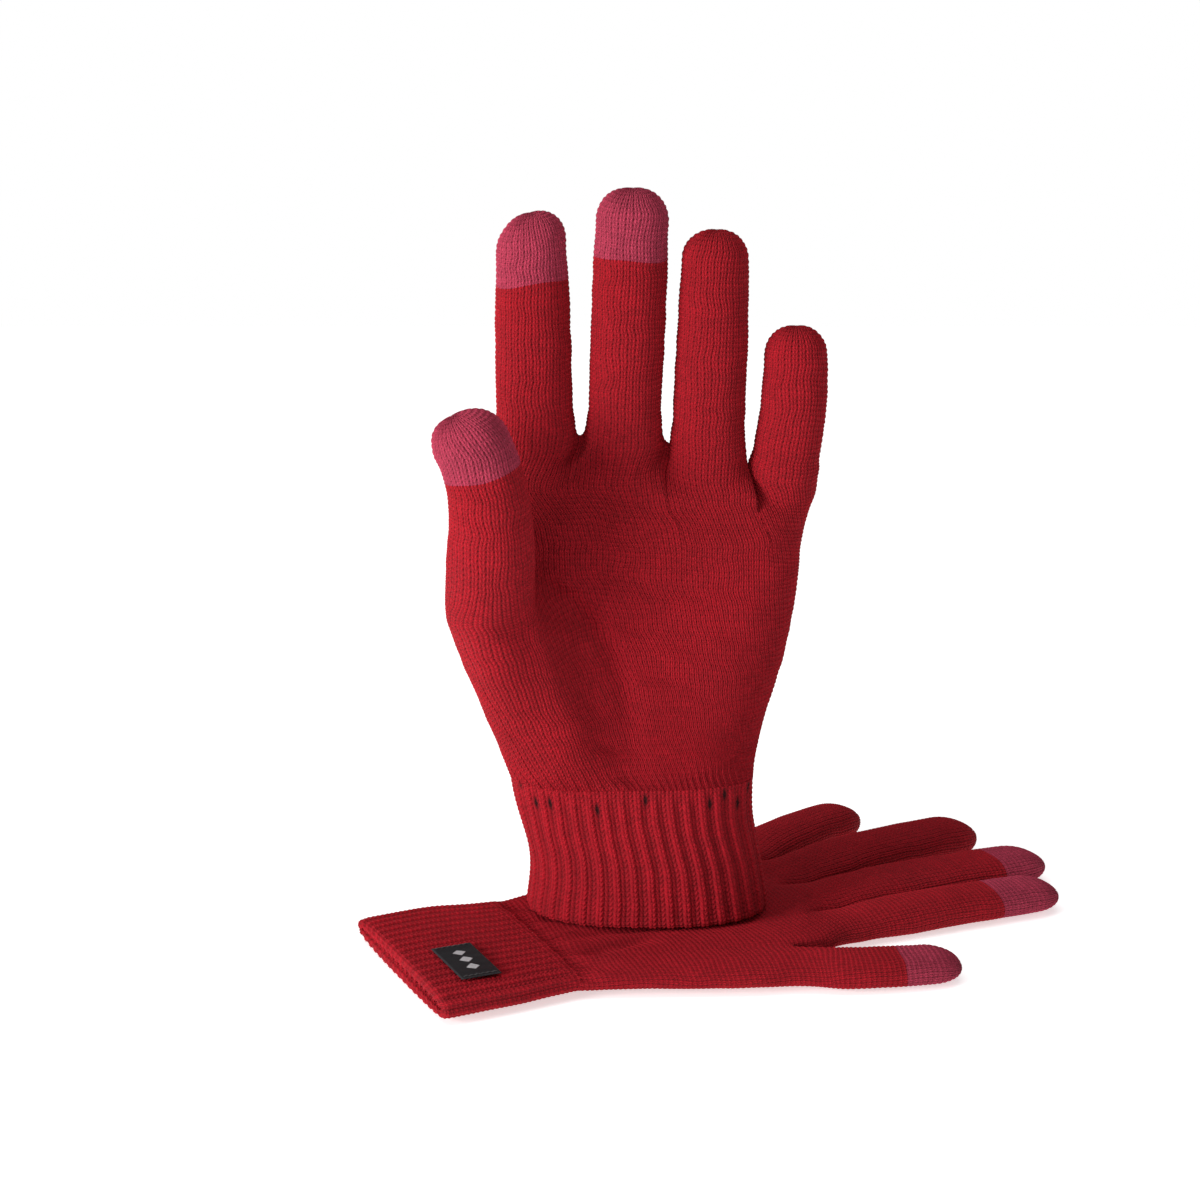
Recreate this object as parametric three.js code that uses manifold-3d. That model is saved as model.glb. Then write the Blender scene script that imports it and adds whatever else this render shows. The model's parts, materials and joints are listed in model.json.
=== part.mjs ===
// A pair of knitted touchscreen gloves. One stands upright on its ribbed cuff with its palm to the
// front, filled out as if a hand were in it. The other lies flat on the table underneath it.
// Every knitted piece is a hollow shell, so a hand's way in is open from the cuff to each fingertip.
//
// Each glove is drawn in its own frame: +Z runs along the fingers, the thumb is at -X and the palm
// of the hand faces -Y. Lengths are millimetres. In the model +Z is up and the table is at Z = 0.
import * as THREE from 'three';
import { mergeVertices } from 'three/addons/utils/BufferGeometryUtils.js';
import Module from 'manifold-3d';

const wasm = await Module();
wasm.setup();

// ---------------------------------------------------------------- sizes of the standing glove
const STANDING = {
  name: 'standing',
  flat: false,
  wall: 1.8, // knit stretched over a hand
  hem: 3.2, // height of the starting edge
  cuff: 33.7, // hem and rib together
  palm: 109.5, // wrist to the base of the middle finger
  cuffEnd: { x: 0, half: 37.5, depth: 23.5 },
  cuffMiddle: { x: -0.8, half: 35.3, depth: 20.5 },
  wrist: { x: -4.2, half: 36.2, depth: 17.5 },
  heel: { share: 0.2, x: -5.2, half: 39.8, depth: 15.5 },
  hollow: { share: 0.45, x: -3.4, half: 44.3, depth: 14.5 },
  knuckleDepth: 11.5,
  indexSide: -45.9, // X of the palm's edge beside the index finger
  webGap: 1.8, // open space between the bases of two fingers
  elastic: { turns: 3, radius: 0.4, from: 5, to: 30 },
  dome: 1.05, // height of a rounded tip, as a share of half the finger's width
  tipDepth: 0.96, // depth near the tip, as a share of the depth at the base
  // Each finger: length, full width at its base and near its tip, depth, lean to +X in degrees,
  // how far its base is set back from the middle finger's, height of the fold at its middle joint
  // above its base, and length of its touch cap, if it has one
  fingers: [
    { name: 'index', length: 69.5, base: 24.4, end: 20.9, depth: 20, lean: -0.9, back: 0, fold: 36, cap: 23 },
    { name: 'middle', length: 76.8, base: 22.6, end: 21.8, depth: 20, lean: 2.4, back: 0, fold: 41, cap: 18.5 },
    { name: 'ring', length: 68, base: 22.4, end: 19.6, depth: 19, lean: 2.5, back: 2.6, fold: 36, cap: 0 },
    { name: 'little', length: 45.4, base: 21.2, end: 17.6, depth: 18, lean: 3.4, back: 9.3, fold: 22, cap: 0 },
  ],
  // Thumb: middle points of its sections from inside the palm to its tip, measured from the wrist
  // along Z and from the palm's index side along X. The tube leaves the palm at point number 2.
  thumb: {
    points: [
      { x: 18, y: -4, z: 20, half: 18, depth: 13 },
      { x: 6.5, y: -13, z: 43, half: 17, depth: 14 },
      { x: -0.3, y: -22.8, z: 63, half: 15.2, depth: 12.6 },
      { x: 0.2, y: -29, z: 84, half: 13.2, depth: 11.8 },
      { x: -1, y: -33, z: 105, half: 11.2, depth: 10.8 },
      { x: -6.6, y: -34, z: 128.6, half: 10.6, depth: 10.4 },
    ],
    leaves: 2,
    cap: 20.5,
  },
};

// ---------------------------------------------------------------- sizes of the lying glove
const LYING = {
  name: 'lying',
  flat: true,
  wall: 2.4, // relaxed knit is thicker
  hem: 3.2,
  cuff: 44,
  palm: 97,
  thickness: 8, // of the flat palm, both layers and the slit between them
  cuffThickness: 8.8,
  fingerThickness: 8.6,
  dome: 1.15,
  tipDepth: 1,
  cuffEnd: { x: 0, half: 38.5 },
  cuffMiddle: { x: 1.2, half: 38.7 },
  wrist: { x: 0.4, half: 35.6 },
  heel: { share: 0.35, x: 2, half: 39 },
  hollow: { share: 0.68, x: 5.2, half: 42.4 },
  indexSide: -33.2,
  webGap: 0.5,
  elastic: { turns: 3, radius: 0.4, from: 7, to: 38 },
  fingers: [
    { name: 'index', length: 71.5, base: 20.8, end: 20.2, lean: -1.6, back: 2, fold: 0, cap: 22 },
    { name: 'middle', length: 79.5, base: 22.4, end: 21.8, lean: 0, back: 0, fold: 0, cap: 18 },
    { name: 'ring', length: 73.5, base: 22.4, end: 21.4, lean: 6.5, back: 1, fold: 0, cap: 0 },
    { name: 'little', length: 52, base: 19.4, end: 18.6, lean: 19.5, back: 5, fold: 0, cap: 0 },
  ],
  thumb: {
    points: [
      { x: 15, z: 18, half: 16 },
      { x: -4, z: 42, half: 14.6 },
      { x: -16, z: 64, half: 11.6 },
      { x: -23.6, z: 82, half: 10.9 },
      { x: -30, z: 109.4, half: 10.2 },
    ],
    leaves: 2,
    cap: 18,
  },
};

// ---------------------------------------------------------------- label, pose and clearances
const LABEL = { long: 25.5, wide: 12.5, thick: 0.7, corner: 0.8, fromEdge: 9.6, x: -14.4 };
const STITCH = { radius: 0.3, inset: 1.3, wave: 0.12, count: 5 };
const LYING_PLACE = { x: -74, y: -43, turn: 24 }; // cuff's middle on the table, and degrees about +Z
const GAP = 0.4; // between the ends of two knitted pieces
const TOUCH = 0.3; // between pieces that rest on each other

// ---------------------------------------------------------------- fineness of the meshes
const AROUND = 24; // points around a section, always even
const OVAL = 2.3; // exponent of a worn section, where 2 is an ellipse
const SQUARE = 4.5; // and of the palm at the knuckles, which has four fingers side by side
const DOME_STEPS = 3;
const CURVED_STEPS = 3; // along the thumb, which bends
const STRAIGHT_STEPS = 1;
const THREAD_SIDES = 5;
const THUMB_ROOT_STEPS = 4; // along the thumb's root, inside the palm
const LENGTH_SAMPLES = 400; // along a curve, to measure it
const WELD = 1e-5; // points closer than this are one
const BEYOND = 20; // how far cutting solids run past what they cut
const ROOT_WALLS = 3; // how far a finger's hollow runs down into the palm, in wall thicknesses
const FLAT_TIP = 0.5; // share of a lying finger's thickness that is left at the very end
const FLAT_POLE = 0.4; // how far its last point sinks, as a share of half its thickness

// ---------------------------------------------------------------- yarn colours
const RED = new THREE.MeshStandardMaterial({ color: 0x9c1424, roughness: 0.92, metalness: 0 });
const PINK = new THREE.MeshStandardMaterial({ color: 0xa5335a, roughness: 0.85, metalness: 0 });
const ELASTIC = new THREE.MeshStandardMaterial({ color: 0x7d1020, roughness: 0.6, metalness: 0 });
const BLACK = new THREE.MeshStandardMaterial({ color: 0x17171a, roughness: 0.7, metalness: 0 });
const THREAD = new THREE.MeshStandardMaterial({ color: 0x2a2a2e, roughness: 0.6, metalness: 0 });

const radians = (degrees) => THREE.MathUtils.degToRad(degrees);

// ---------------------------------------------------------------- sections and shells

// Points round a section in its own plane, counter-clockwise about the way the piece runs.
function outline(half, depth, flat, squareness) {
  const points = [];
  const perSide = AROUND / 2;
  for (let side = 0; side < 2; side += 1) {
    for (let k = 0; k < perSide; k += 1) {
      const step = flat ? k / (perSide - 1) : k / perSide;
      const angle = -Math.PI / 2 + Math.PI * (side + step);
      const c = Math.cos(angle);
      const s = Math.sin(angle);
      if (flat) {
        const end = Math.min(half, depth);
        points.push([(side ? -1 : 1) * (half - end) + end * c, depth * s]);
      } else {
        const power = 2 / squareness;
        points.push([half * Math.sign(c) * Math.abs(c) ** power, depth * Math.sign(s) * Math.abs(s) ** power]);
      }
    }
  }
  return points;
}

// A section placed in space: centre, width direction, depth direction.
function ring(centre, across, deep, half, depth, flat, squareness = OVAL) {
  return outline(half, depth, flat, squareness).map(([u, v]) =>
    centre.clone().addScaledVector(across, u).addScaledVector(deep, v));
}

function toGeometry(points, triangles) {
  const geometry = new THREE.BufferGeometry();
  const flatPoints = points.flatMap((p) => [p.x, p.y, p.z]);
  geometry.setAttribute('position', new THREE.Float32BufferAttribute(flatPoints, 3));
  geometry.setIndex(triangles);
  geometry.computeVertexNormals();
  return geometry;
}

// Joins neighbouring rings into a wall. A turned wall faces inwards.
function addWall(triangles, firstRing, rings, turned) {
  for (let r = 0; r < rings - 1; r += 1) {
    for (let k = 0; k < AROUND; k += 1) {
      const next = (k + 1) % AROUND;
      const a = (firstRing + r) * AROUND + k;
      const b = (firstRing + r) * AROUND + next;
      const c = (firstRing + r + 1) * AROUND + next;
      const d = (firstRing + r + 1) * AROUND + k;
      if (turned) triangles.push(a, c, b, a, d, c);
      else triangles.push(a, b, c, a, c, d);
    }
  }
}

// Closes a ring onto one point. Forward means that the cap faces the way the piece runs.
function addFan(triangles, ringIndex, pole, forward) {
  for (let k = 0; k < AROUND; k += 1) {
    const a = ringIndex * AROUND + k;
    const b = ringIndex * AROUND + ((k + 1) % AROUND);
    if (forward) triangles.push(pole, a, b);
    else triangles.push(pole, b, a);
  }
}

// Joins an outer ring to an inner one with a flat rim.
function addRim(triangles, outer, inner, forward) {
  for (let k = 0; k < AROUND; k += 1) {
    const next = (k + 1) % AROUND;
    const a = outer * AROUND + k;
    const b = outer * AROUND + next;
    const c = inner * AROUND + next;
    const d = inner * AROUND + k;
    if (forward) triangles.push(a, b, c, a, c, d);
    else triangles.push(a, c, b, a, d, c);
  }
}

// A hollow piece. With poles it ends in a closed tip, otherwise it is open at both ends.
function shell(outer, inner, poles) {
  const points = [...outer.flat(), ...inner.flat()];
  const triangles = [];
  addWall(triangles, 0, outer.length, false);
  addWall(triangles, outer.length, inner.length, true);
  addRim(triangles, 0, outer.length, false);
  if (poles) {
    points.push(poles.outer, poles.inner);
    addFan(triangles, outer.length - 1, points.length - 2, true);
    addFan(triangles, outer.length + inner.length - 1, points.length - 1, false);
  } else {
    addRim(triangles, outer.length - 1, outer.length + inner.length - 1, true);
  }
  return toGeometry(points, triangles);
}

// A filled piece through the rings, for cutting and joining.
function filled(rings) {
  const points = rings.flat();
  const triangles = [];
  addWall(triangles, 0, rings.length, false);
  for (const end of [0, rings.length - 1]) {
    const middle = new THREE.Vector3();
    rings[end].forEach((p) => middle.addScaledVector(p, 1 / AROUND));
    points.push(middle);
    addFan(triangles, end, points.length - 1, end > 0);
  }
  return toSolid(toGeometry(points, triangles));
}

function toSolid(geometry) {
  const bare = geometry.clone();
  bare.deleteAttribute('normal');
  bare.deleteAttribute('uv');
  const merged = mergeVertices(bare, WELD);
  const mesh = new wasm.Mesh({
    numProp: 3,
    vertProperties: new Float32Array(merged.attributes.position.array),
    triVerts: new Uint32Array(merged.index.array),
  });
  return new wasm.Manifold(mesh);
}

function fromSolid(solid) {
  const mesh = solid.getMesh();
  const geometry = new THREE.BufferGeometry();
  geometry.setAttribute('position', new THREE.BufferAttribute(new Float32Array(mesh.vertProperties), 3));
  geometry.setIndex(new THREE.BufferAttribute(new Uint32Array(mesh.triVerts), 1));
  geometry.computeVertexNormals();
  return geometry;
}

// ---------------------------------------------------------------- cuff

// The cuff's section at a height above its end, between its three given sections.
function cuffSection(glove, height) {
  const share = height / glove.cuff;
  const [low, high] = share < 0.5 ? [glove.cuffEnd, glove.cuffMiddle] : [glove.cuffMiddle, glove.wrist];
  const mix = share < 0.5 ? share * 2 : share * 2 - 1;
  const between = (key) => THREE.MathUtils.lerp(low[key], high[key], mix);
  const depth = glove.flat ? glove.cuffThickness / 2 : between('depth');
  return { x: between('x'), y: glove.flat ? depth : 0, half: between('half'), depth };
}

function cuffRing(glove, height, inset) {
  const at = cuffSection(glove, height);
  const centre = new THREE.Vector3(at.x, at.y, height);
  const across = new THREE.Vector3(1, 0, 0);
  const deep = new THREE.Vector3(0, 1, 0);
  return ring(centre, across, deep, at.half - inset, at.depth - inset, glove.flat);
}

function cuffTube(glove, from, to) {
  const middle = glove.cuff / 2;
  const heights = from < middle && middle < to ? [from, middle, to] : [from, to];
  const outer = heights.map((h) => cuffRing(glove, h, 0));
  const inner = heights.map((h) => cuffRing(glove, h, glove.wall));
  return shell(outer, inner);
}

// The laid-in elastic yarn: one thread wound round the inside of the cuff.
class ElasticPath extends THREE.Curve {
  constructor(glove) {
    super();
    this.glove = glove;
  }

  getPoint(t, target = new THREE.Vector3()) {
    const { turns, radius, from, to } = this.glove.elastic;
    const height = from + (to - from) * t;
    const inset = this.glove.wall + TOUCH + radius;
    const loop = cuffRing(this.glove, height, inset);
    const place = ((t * turns) % 1) * AROUND;
    const k = Math.floor(place) % AROUND;
    return target.copy(loop[k]).lerp(loop[(k + 1) % AROUND], place - Math.floor(place));
  }

  // Steps go from corner to corner of the loop, so a flattened loop keeps its round ends
  getPointAt(share, target) {
    return this.getPoint(share, target);
  }

  getTangentAt(share, target) {
    return this.getTangent(share, target);
  }
}

function threadSection(radius) {
  const section = new THREE.Shape();
  for (let k = 0; k < THREAD_SIDES; k += 1) {
    const angle = (2 * Math.PI * k) / THREAD_SIDES;
    const x = radius * Math.cos(angle);
    const y = radius * Math.sin(angle);
    if (k === 0) section.moveTo(x, y);
    else section.lineTo(x, y);
  }
  section.closePath();
  return section;
}

function elasticYarn(glove) {
  const steps = glove.elastic.turns * AROUND;
  const options = { steps, extrudePath: new ElasticPath(glove), bevelEnabled: false };
  return new THREE.ExtrudeGeometry(threadSection(glove.elastic.radius), options);
}

// ---------------------------------------------------------------- fingers and thumb

// A finger standing on its base, with its centre line and the sizes of its sections.
function fingerLimb(glove, finger, x) {
  const lean = radians(finger.lean);
  const half = (end) => finger[end] / 2;
  const depth = glove.flat ? glove.fingerThickness / 2 : finger.depth / 2;
  const start = new THREE.Vector3(x, glove.flat ? depth : 0, glove.cuff + glove.palm - finger.back);
  const run = new THREE.Vector3(Math.sin(lean), 0, Math.cos(lean)).multiplyScalar(finger.length);
  return {
    path: new THREE.LineCurve3(start, start.clone().add(run)),
    halves: [half('base'), half('end')],
    depths: [depth, depth * glove.tipDepth],
    glove,
  };
}

function thumbLimb(glove) {
  const { points } = glove.thumb;
  const flatDepth = (k) => (k > glove.thumb.leaves ? glove.fingerThickness : glove.thickness) / 2;
  const depths = points.map((p, k) => (glove.flat ? flatDepth(k) : p.depth));
  const placed = points.map((p, k) =>
    new THREE.Vector3(glove.indexSide + p.x, glove.flat ? depths[k] : p.y, glove.cuff + p.z));
  return { path: new THREE.CatmullRomCurve3(placed), halves: points.map((p) => p.half), depths, glove };
}

const limbLength = (limb) => limb.path.getLength();

// Where a limb's numbered point lies, as a distance along it.
function alongAt(limb, pointNumber) {
  const wanted = pointNumber / (limb.halves.length - 1);
  const lengths = limb.path.getLengths(LENGTH_SAMPLES);
  return lengths[Math.round(wanted * LENGTH_SAMPLES)];
}

function limbFrame(limb, along) {
  const share = THREE.MathUtils.clamp(along / limbLength(limb), 0, 1);
  const centre = limb.path.getPointAt(share);
  const run = limb.path.getTangentAt(share);
  const beyond = along - share * limbLength(limb);
  centre.addScaledVector(run, beyond);
  const deep = new THREE.Vector3(0, 1, 0).addScaledVector(run, -run.y).normalize();
  const across = new THREE.Vector3().crossVectors(deep, run);
  const place = limb.path.getUtoTmapping(share) * (limb.halves.length - 1);
  const k = Math.min(Math.floor(place), limb.halves.length - 2);
  const half = THREE.MathUtils.lerp(limb.halves[k], limb.halves[k + 1], place - k);
  const depth = THREE.MathUtils.lerp(limb.depths[k], limb.depths[k + 1], place - k);
  return { centre, run, deep, across, half, depth };
}

const domeLength = (limb) => limb.halves.at(-1) * limb.glove.dome;

// A limb's section at a distance along it, set in by a wall. The last stretch is a rounded tip.
function limbRing(limb, along, inset) {
  const frame = limbFrame(limb, along);
  const dome = domeLength(limb);
  const into = Math.max(0, along - (limbLength(limb) - dome));
  const round = Math.sqrt(Math.max(0, 1 - (into / (dome - inset)) ** 2));
  let depth = (frame.depth - inset) * round;
  if (limb.glove.flat) {
    const curve = Math.sqrt(Math.max(0, 1 - (into / dome) ** 2));
    const thinned = frame.depth * THREE.MathUtils.lerp(FLAT_TIP, 1, curve);
    frame.centre.y += thinned - frame.depth;
    depth = thinned - inset;
  }
  return ring(frame.centre, frame.across, frame.deep, (frame.half - inset) * round, depth, limb.glove.flat);
}

function openStations(from, to, steps) {
  return Array.from({ length: steps + 1 }, (_, k) => from + ((to - from) * k) / steps);
}

function limbTube(limb, from, to, steps = STRAIGHT_STEPS) {
  const stations = openStations(from, to, steps);
  const outer = stations.map((s) => limbRing(limb, s, 0));
  const inner = stations.map((s) => limbRing(limb, s, limb.glove.wall));
  return shell(outer, inner);
}

function limbTip(limb, from, steps = STRAIGHT_STEPS) {
  const length = limbLength(limb);
  const dome = domeLength(limb);
  const rings = (inset) => {
    const stations = openStations(from, length - dome, steps);
    for (let k = 1; k < DOME_STEPS; k += 1) {
      stations.push(length - dome + (dome - inset) * Math.sin((Math.PI / 2) * (k / DOME_STEPS)));
    }
    return stations.map((s) => limbRing(limb, s, inset));
  };
  const pole = (inset) => {
    const frame = limbFrame(limb, length - inset);
    if (limb.glove.flat) frame.centre.y -= frame.depth * FLAT_POLE;
    return frame.centre;
  };
  return shell(rings(0), rings(limb.glove.wall), { outer: pole(0), inner: pole(limb.glove.wall) });
}

function limbFilled(limb, from, to, inset, steps = STRAIGHT_STEPS) {
  return filled(openStations(from, to, steps).map((s) => limbRing(limb, s, inset)));
}

// ---------------------------------------------------------------- palm

// The fingers side by side from the index side, with the edges of the room that each one has.
function layFingers(glove) {
  let edge = glove.indexSide;
  return glove.fingers.map((finger) => {
    const left = edge;
    edge += finger.base + glove.webGap;
    const limb = fingerLimb(glove, finger, left + finger.base / 2);
    return { finger, limb, left: left - glove.webGap / 2, right: left + finger.base + glove.webGap / 2 };
  });
}

// The solid above the line on which the fingers stand, lowered when a roof is left under it.
function aboveFingerLine(glove, laid, lowered) {
  const line = [];
  for (const { finger, limb, left, right } of laid) {
    const start = limb.path.v1;
    const slope = Math.tan(radians(finger.lean));
    for (const x of [left, right]) line.push([x, start.z - (x - start.x) * slope - lowered]);
  }
  line.unshift([line[0][0] - BEYOND, line[0][1]]);
  line.push([line.at(-1)[0] + BEYOND, line.at(-1)[1]]);
  const top = glove.cuff + glove.palm + 2 * BEYOND;
  const shape = new THREE.Shape();
  shape.moveTo(line[0][0], top);
  line.forEach(([x, z]) => shape.lineTo(x, z));
  shape.lineTo(line.at(-1)[0], top);
  shape.closePath();
  const cutter = new THREE.ExtrudeGeometry(shape, { depth: 4 * BEYOND, bevelEnabled: false });
  cutter.rotateX(Math.PI / 2);
  cutter.translate(0, 2 * BEYOND, 0);
  return toSolid(cutter);
}

function palmSections(glove, laid) {
  const right = laid.at(-1).right - glove.webGap / 2;
  const half = (right - glove.indexSide) / 2;
  const lowest = Math.max(...glove.fingers.map((finger) => finger.back)) + ROOT_WALLS * glove.wall;
  const place = { share: 1 - lowest / glove.palm, x: glove.indexSide + half };
  const knuckles = { ...place, half, depth: glove.knuckleDepth, squareness: SQUARE };
  const wrist = { ...glove.wrist, share: 0 };
  return [wrist, glove.heel, glove.hollow, knuckles, { ...knuckles, share: 1 + BEYOND / glove.palm }];
}

function palmFilled(glove, laid, inset) {
  const sections = palmSections(glove, laid);
  const rings = sections.map((at, k) => {
    const depth = glove.flat ? glove.thickness / 2 : at.depth;
    const height = glove.cuff + GAP + at.share * (glove.palm - GAP) - (k === 0 && inset ? TOUCH : 0);
    const centre = new THREE.Vector3(at.x, glove.flat ? depth : 0, height);
    const across = new THREE.Vector3(1, 0, 0);
    const deep = new THREE.Vector3(0, 1, 0);
    return ring(centre, across, deep, at.half - inset, depth - inset, glove.flat, at.squareness);
  });
  return filled(rings);
}

function palm(glove, laid, thumb) {
  const base = alongAt(thumb, glove.thumb.leaves);
  let outer = palmFilled(glove, laid, 0).subtract(aboveFingerLine(glove, laid, 0));
  outer = outer.add(limbFilled(thumb, 0, base, 0, THUMB_ROOT_STEPS));
  let inner = palmFilled(glove, laid, glove.wall).subtract(aboveFingerLine(glove, laid, glove.wall));
  inner = inner.add(limbFilled(thumb, 0, base + GAP, glove.wall, THUMB_ROOT_STEPS));
  for (const { limb } of laid) {
    inner = inner.add(limbFilled(limb, -ROOT_WALLS * glove.wall, GAP, glove.wall));
  }
  return fromSolid(outer.subtract(inner));
}

// ---------------------------------------------------------------- assembly

function named(name, geometry, material) {
  const mesh = new THREE.Mesh(geometry, material.clone());
  mesh.name = name;
  return mesh;
}

// A finger's pieces: the base and the end either side of its fold, then the touch cap.
function addLimbPieces(group, prefix, limb, from, fold, cap) {
  const length = limbLength(limb);
  const capFrom = length - cap;
  const lastEnd = cap ? capFrom : length;
  if (fold) {
    group.add(named(`${prefix}_base`, limbTube(limb, from, fold - GAP / 2), RED));
  }
  const start = fold ? fold + GAP / 2 : from;
  const name = fold ? `${prefix}_end` : prefix;
  const geometry = cap ? limbTube(limb, start, lastEnd - GAP / 2, CURVED_STEPS) : limbTip(limb, start);
  group.add(named(name, geometry, RED));
  if (cap) group.add(named(`${prefix}_tip`, limbTip(limb, capFrom + GAP / 2), PINK));
}

// The line that a piece folds about lies in its base: at the front face of a worn finger, at the
// upper face of a lying one, and at the outer side of the worn thumb.
function hinge(name, limb, along, side) {
  const frame = limbFrame(limb, along);
  const reach = { front: [0, -frame.depth], upper: [0, frame.depth], outer: [-frame.half, 0] }[side];
  const at = frame.centre.addScaledVector(frame.across, reach[0]).addScaledVector(frame.deep, reach[1]);
  const backward = (direction) => direction.clone().negate();
  const axis = { front: frame.across, upper: backward(frame.across), outer: backward(frame.deep) }[side];
  return { name, at, axis };
}

function buildGlove(glove) {
  const group = new THREE.Group();
  const hinges = [];
  const laid = layFingers(glove);
  const thumb = thumbLimb(glove);
  const piece = (part) => `${glove.name}_${part}`;
  group.add(named(piece('cuff_hem'), cuffTube(glove, 0, glove.hem - GAP / 2), RED));
  group.add(named(piece('cuff_rib'), cuffTube(glove, glove.hem + GAP / 2, glove.cuff), RED));
  group.add(named(piece('cuff_elastic'), elasticYarn(glove), ELASTIC));
  group.add(named(piece('palm'), palm(glove, laid, thumb), RED));
  for (const { finger, limb } of laid) {
    addLimbPieces(group, piece(finger.name), limb, GAP, finger.fold, finger.cap);
    hinges.push(hinge(piece(`${finger.name}_bend`), limb, GAP / 2, glove.flat ? 'upper' : 'front'));
    if (finger.fold) hinges.push(hinge(piece(`${finger.name}_curl`), limb, finger.fold, 'front'));
  }
  const thumbBase = alongAt(thumb, glove.thumb.leaves);
  addLimbPieces(group, piece('thumb'), thumb, thumbBase + GAP, 0, glove.thumb.cap);
  hinges.push(hinge(piece('thumb_swing'), thumb, thumbBase + GAP / 2, glove.flat ? 'upper' : 'outer'));
  group.userData.hinges = hinges;
  return group;
}

// ---------------------------------------------------------------- woven label on the lying cuff

function labelPlate() {
  const { long, wide, thick, corner } = LABEL;
  const shape = new THREE.Shape();
  const x = long / 2;
  const y = wide / 2;
  shape.moveTo(-x + corner, -y);
  shape.lineTo(x - corner, -y);
  shape.quadraticCurveTo(x, -y, x, -y + corner);
  shape.lineTo(x, y - corner);
  shape.quadraticCurveTo(x, y, x - corner, y);
  shape.lineTo(-x + corner, y);
  shape.quadraticCurveTo(-x, y, -x, y - corner);
  shape.lineTo(-x, -y + corner);
  shape.quadraticCurveTo(-x, -y, -x + corner, -y);
  return new THREE.ExtrudeGeometry(shape, { depth: thick, bevelEnabled: false, curveSegments: 3 });
}

// The sewing thread across one end of the label, in gentle waves over its stitches.
class StitchPath extends THREE.Curve {
  getPoint(t, target = new THREE.Vector3()) {
    const run = LABEL.wide - 2 * STITCH.inset;
    const lift = STITCH.wave * Math.sin(2 * Math.PI * STITCH.count * t);
    return target.set(0, run * (t - 0.5), lift);
  }
}

function addLabel(group) {
  const top = LYING.cuffThickness + TOUCH;
  const holder = new THREE.Group();
  holder.position.set(LABEL.x, top, LABEL.fromEdge + LABEL.wide / 2);
  holder.rotation.x = -Math.PI / 2;
  holder.add(named('label', labelPlate(), BLACK));
  for (const [name, side] of [['label_stitch_inner', 1], ['label_stitch_outer', -1]]) {
    const options = { steps: 4 * STITCH.count, extrudePath: new StitchPath(), bevelEnabled: false };
    const thread = named(name, new THREE.ExtrudeGeometry(threadSection(STITCH.radius), options), THREAD);
    const height = LABEL.thick + TOUCH + STITCH.radius + STITCH.wave;
    thread.position.set(side * (LABEL.long / 2 - STITCH.inset), 0, height);
    holder.add(thread);
  }
  group.add(holder);
}

// ---------------------------------------------------------------- the pair

const standing = buildGlove(STANDING);
standing.position.z = LYING.thickness + TOUCH;

const lying = buildGlove(LYING);
addLabel(lying);
const turn = radians(LYING_PLACE.turn);
const alongFingers = new THREE.Vector3(Math.cos(turn), Math.sin(turn), 0);
const acrossHand = new THREE.Vector3(-Math.sin(turn), Math.cos(turn), 0);
const up = new THREE.Vector3(0, 0, 1);
lying.quaternion.setFromRotationMatrix(new THREE.Matrix4().makeBasis(acrossHand, up, alongFingers));
lying.position.set(LYING_PLACE.x, LYING_PLACE.y, 0);

const gloves = new THREE.Group();
gloves.add(lying, standing);
gloves.updateMatrixWorld(true);

// The fold lines in the model's frame, for whoever sets up the joints
gloves.userData.hinges = [lying, standing].flatMap((group) =>
  group.userData.hinges.map(({ name, at, axis }) => ({
    name,
    at: at.clone().applyMatrix4(group.matrixWorld).toArray(),
    axis: axis.clone().transformDirection(group.matrixWorld).toArray(),
  })));

export default gloves;
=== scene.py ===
import json
import math
import bmesh
import bpy
import numpy as np
from mathutils import Matrix, Vector


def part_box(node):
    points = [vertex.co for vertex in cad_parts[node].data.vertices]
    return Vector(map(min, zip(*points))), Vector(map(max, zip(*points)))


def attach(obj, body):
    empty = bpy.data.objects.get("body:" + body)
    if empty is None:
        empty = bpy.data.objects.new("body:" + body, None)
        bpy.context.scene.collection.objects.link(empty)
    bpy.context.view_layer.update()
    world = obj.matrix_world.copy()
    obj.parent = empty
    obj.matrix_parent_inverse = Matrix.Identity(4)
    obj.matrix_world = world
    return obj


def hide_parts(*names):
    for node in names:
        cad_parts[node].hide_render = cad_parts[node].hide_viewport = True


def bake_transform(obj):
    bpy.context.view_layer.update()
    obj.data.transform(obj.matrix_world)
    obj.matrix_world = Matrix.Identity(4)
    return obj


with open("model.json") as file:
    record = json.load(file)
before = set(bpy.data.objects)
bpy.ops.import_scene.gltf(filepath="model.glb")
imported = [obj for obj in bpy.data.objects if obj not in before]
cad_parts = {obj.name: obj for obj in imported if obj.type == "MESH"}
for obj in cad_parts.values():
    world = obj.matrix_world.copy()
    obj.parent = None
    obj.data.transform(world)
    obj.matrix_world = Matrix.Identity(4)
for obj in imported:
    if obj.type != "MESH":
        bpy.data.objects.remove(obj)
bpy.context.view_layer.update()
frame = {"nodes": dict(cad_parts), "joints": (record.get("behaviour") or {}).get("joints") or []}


# ------------------------------------------------------------------ the red acrylic yarn
# The gloves are knitted from a spun red acrylic yarn. Every stitch is a V of two plump legs, the
# wales stand in columns with a furrow between them, and short loose fibres blur the surface. The
# shade in the furrows and in the holes between stitches is painted into the colour, as is a sheen
# on the loose fibres.
# The first colour is the yarn's own. The second is painted shade for the furrows and the holes between
# stitches. The third is a painted sheen on loose fibres, and it is also the sheen tint.
RED = (0.365, 0.0028, 0.0098)
RED_FURROW_SHADE = (0.070, 0.0006, 0.0018)
RED_SHEEN = (0.50, 0.013, 0.031)


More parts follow.
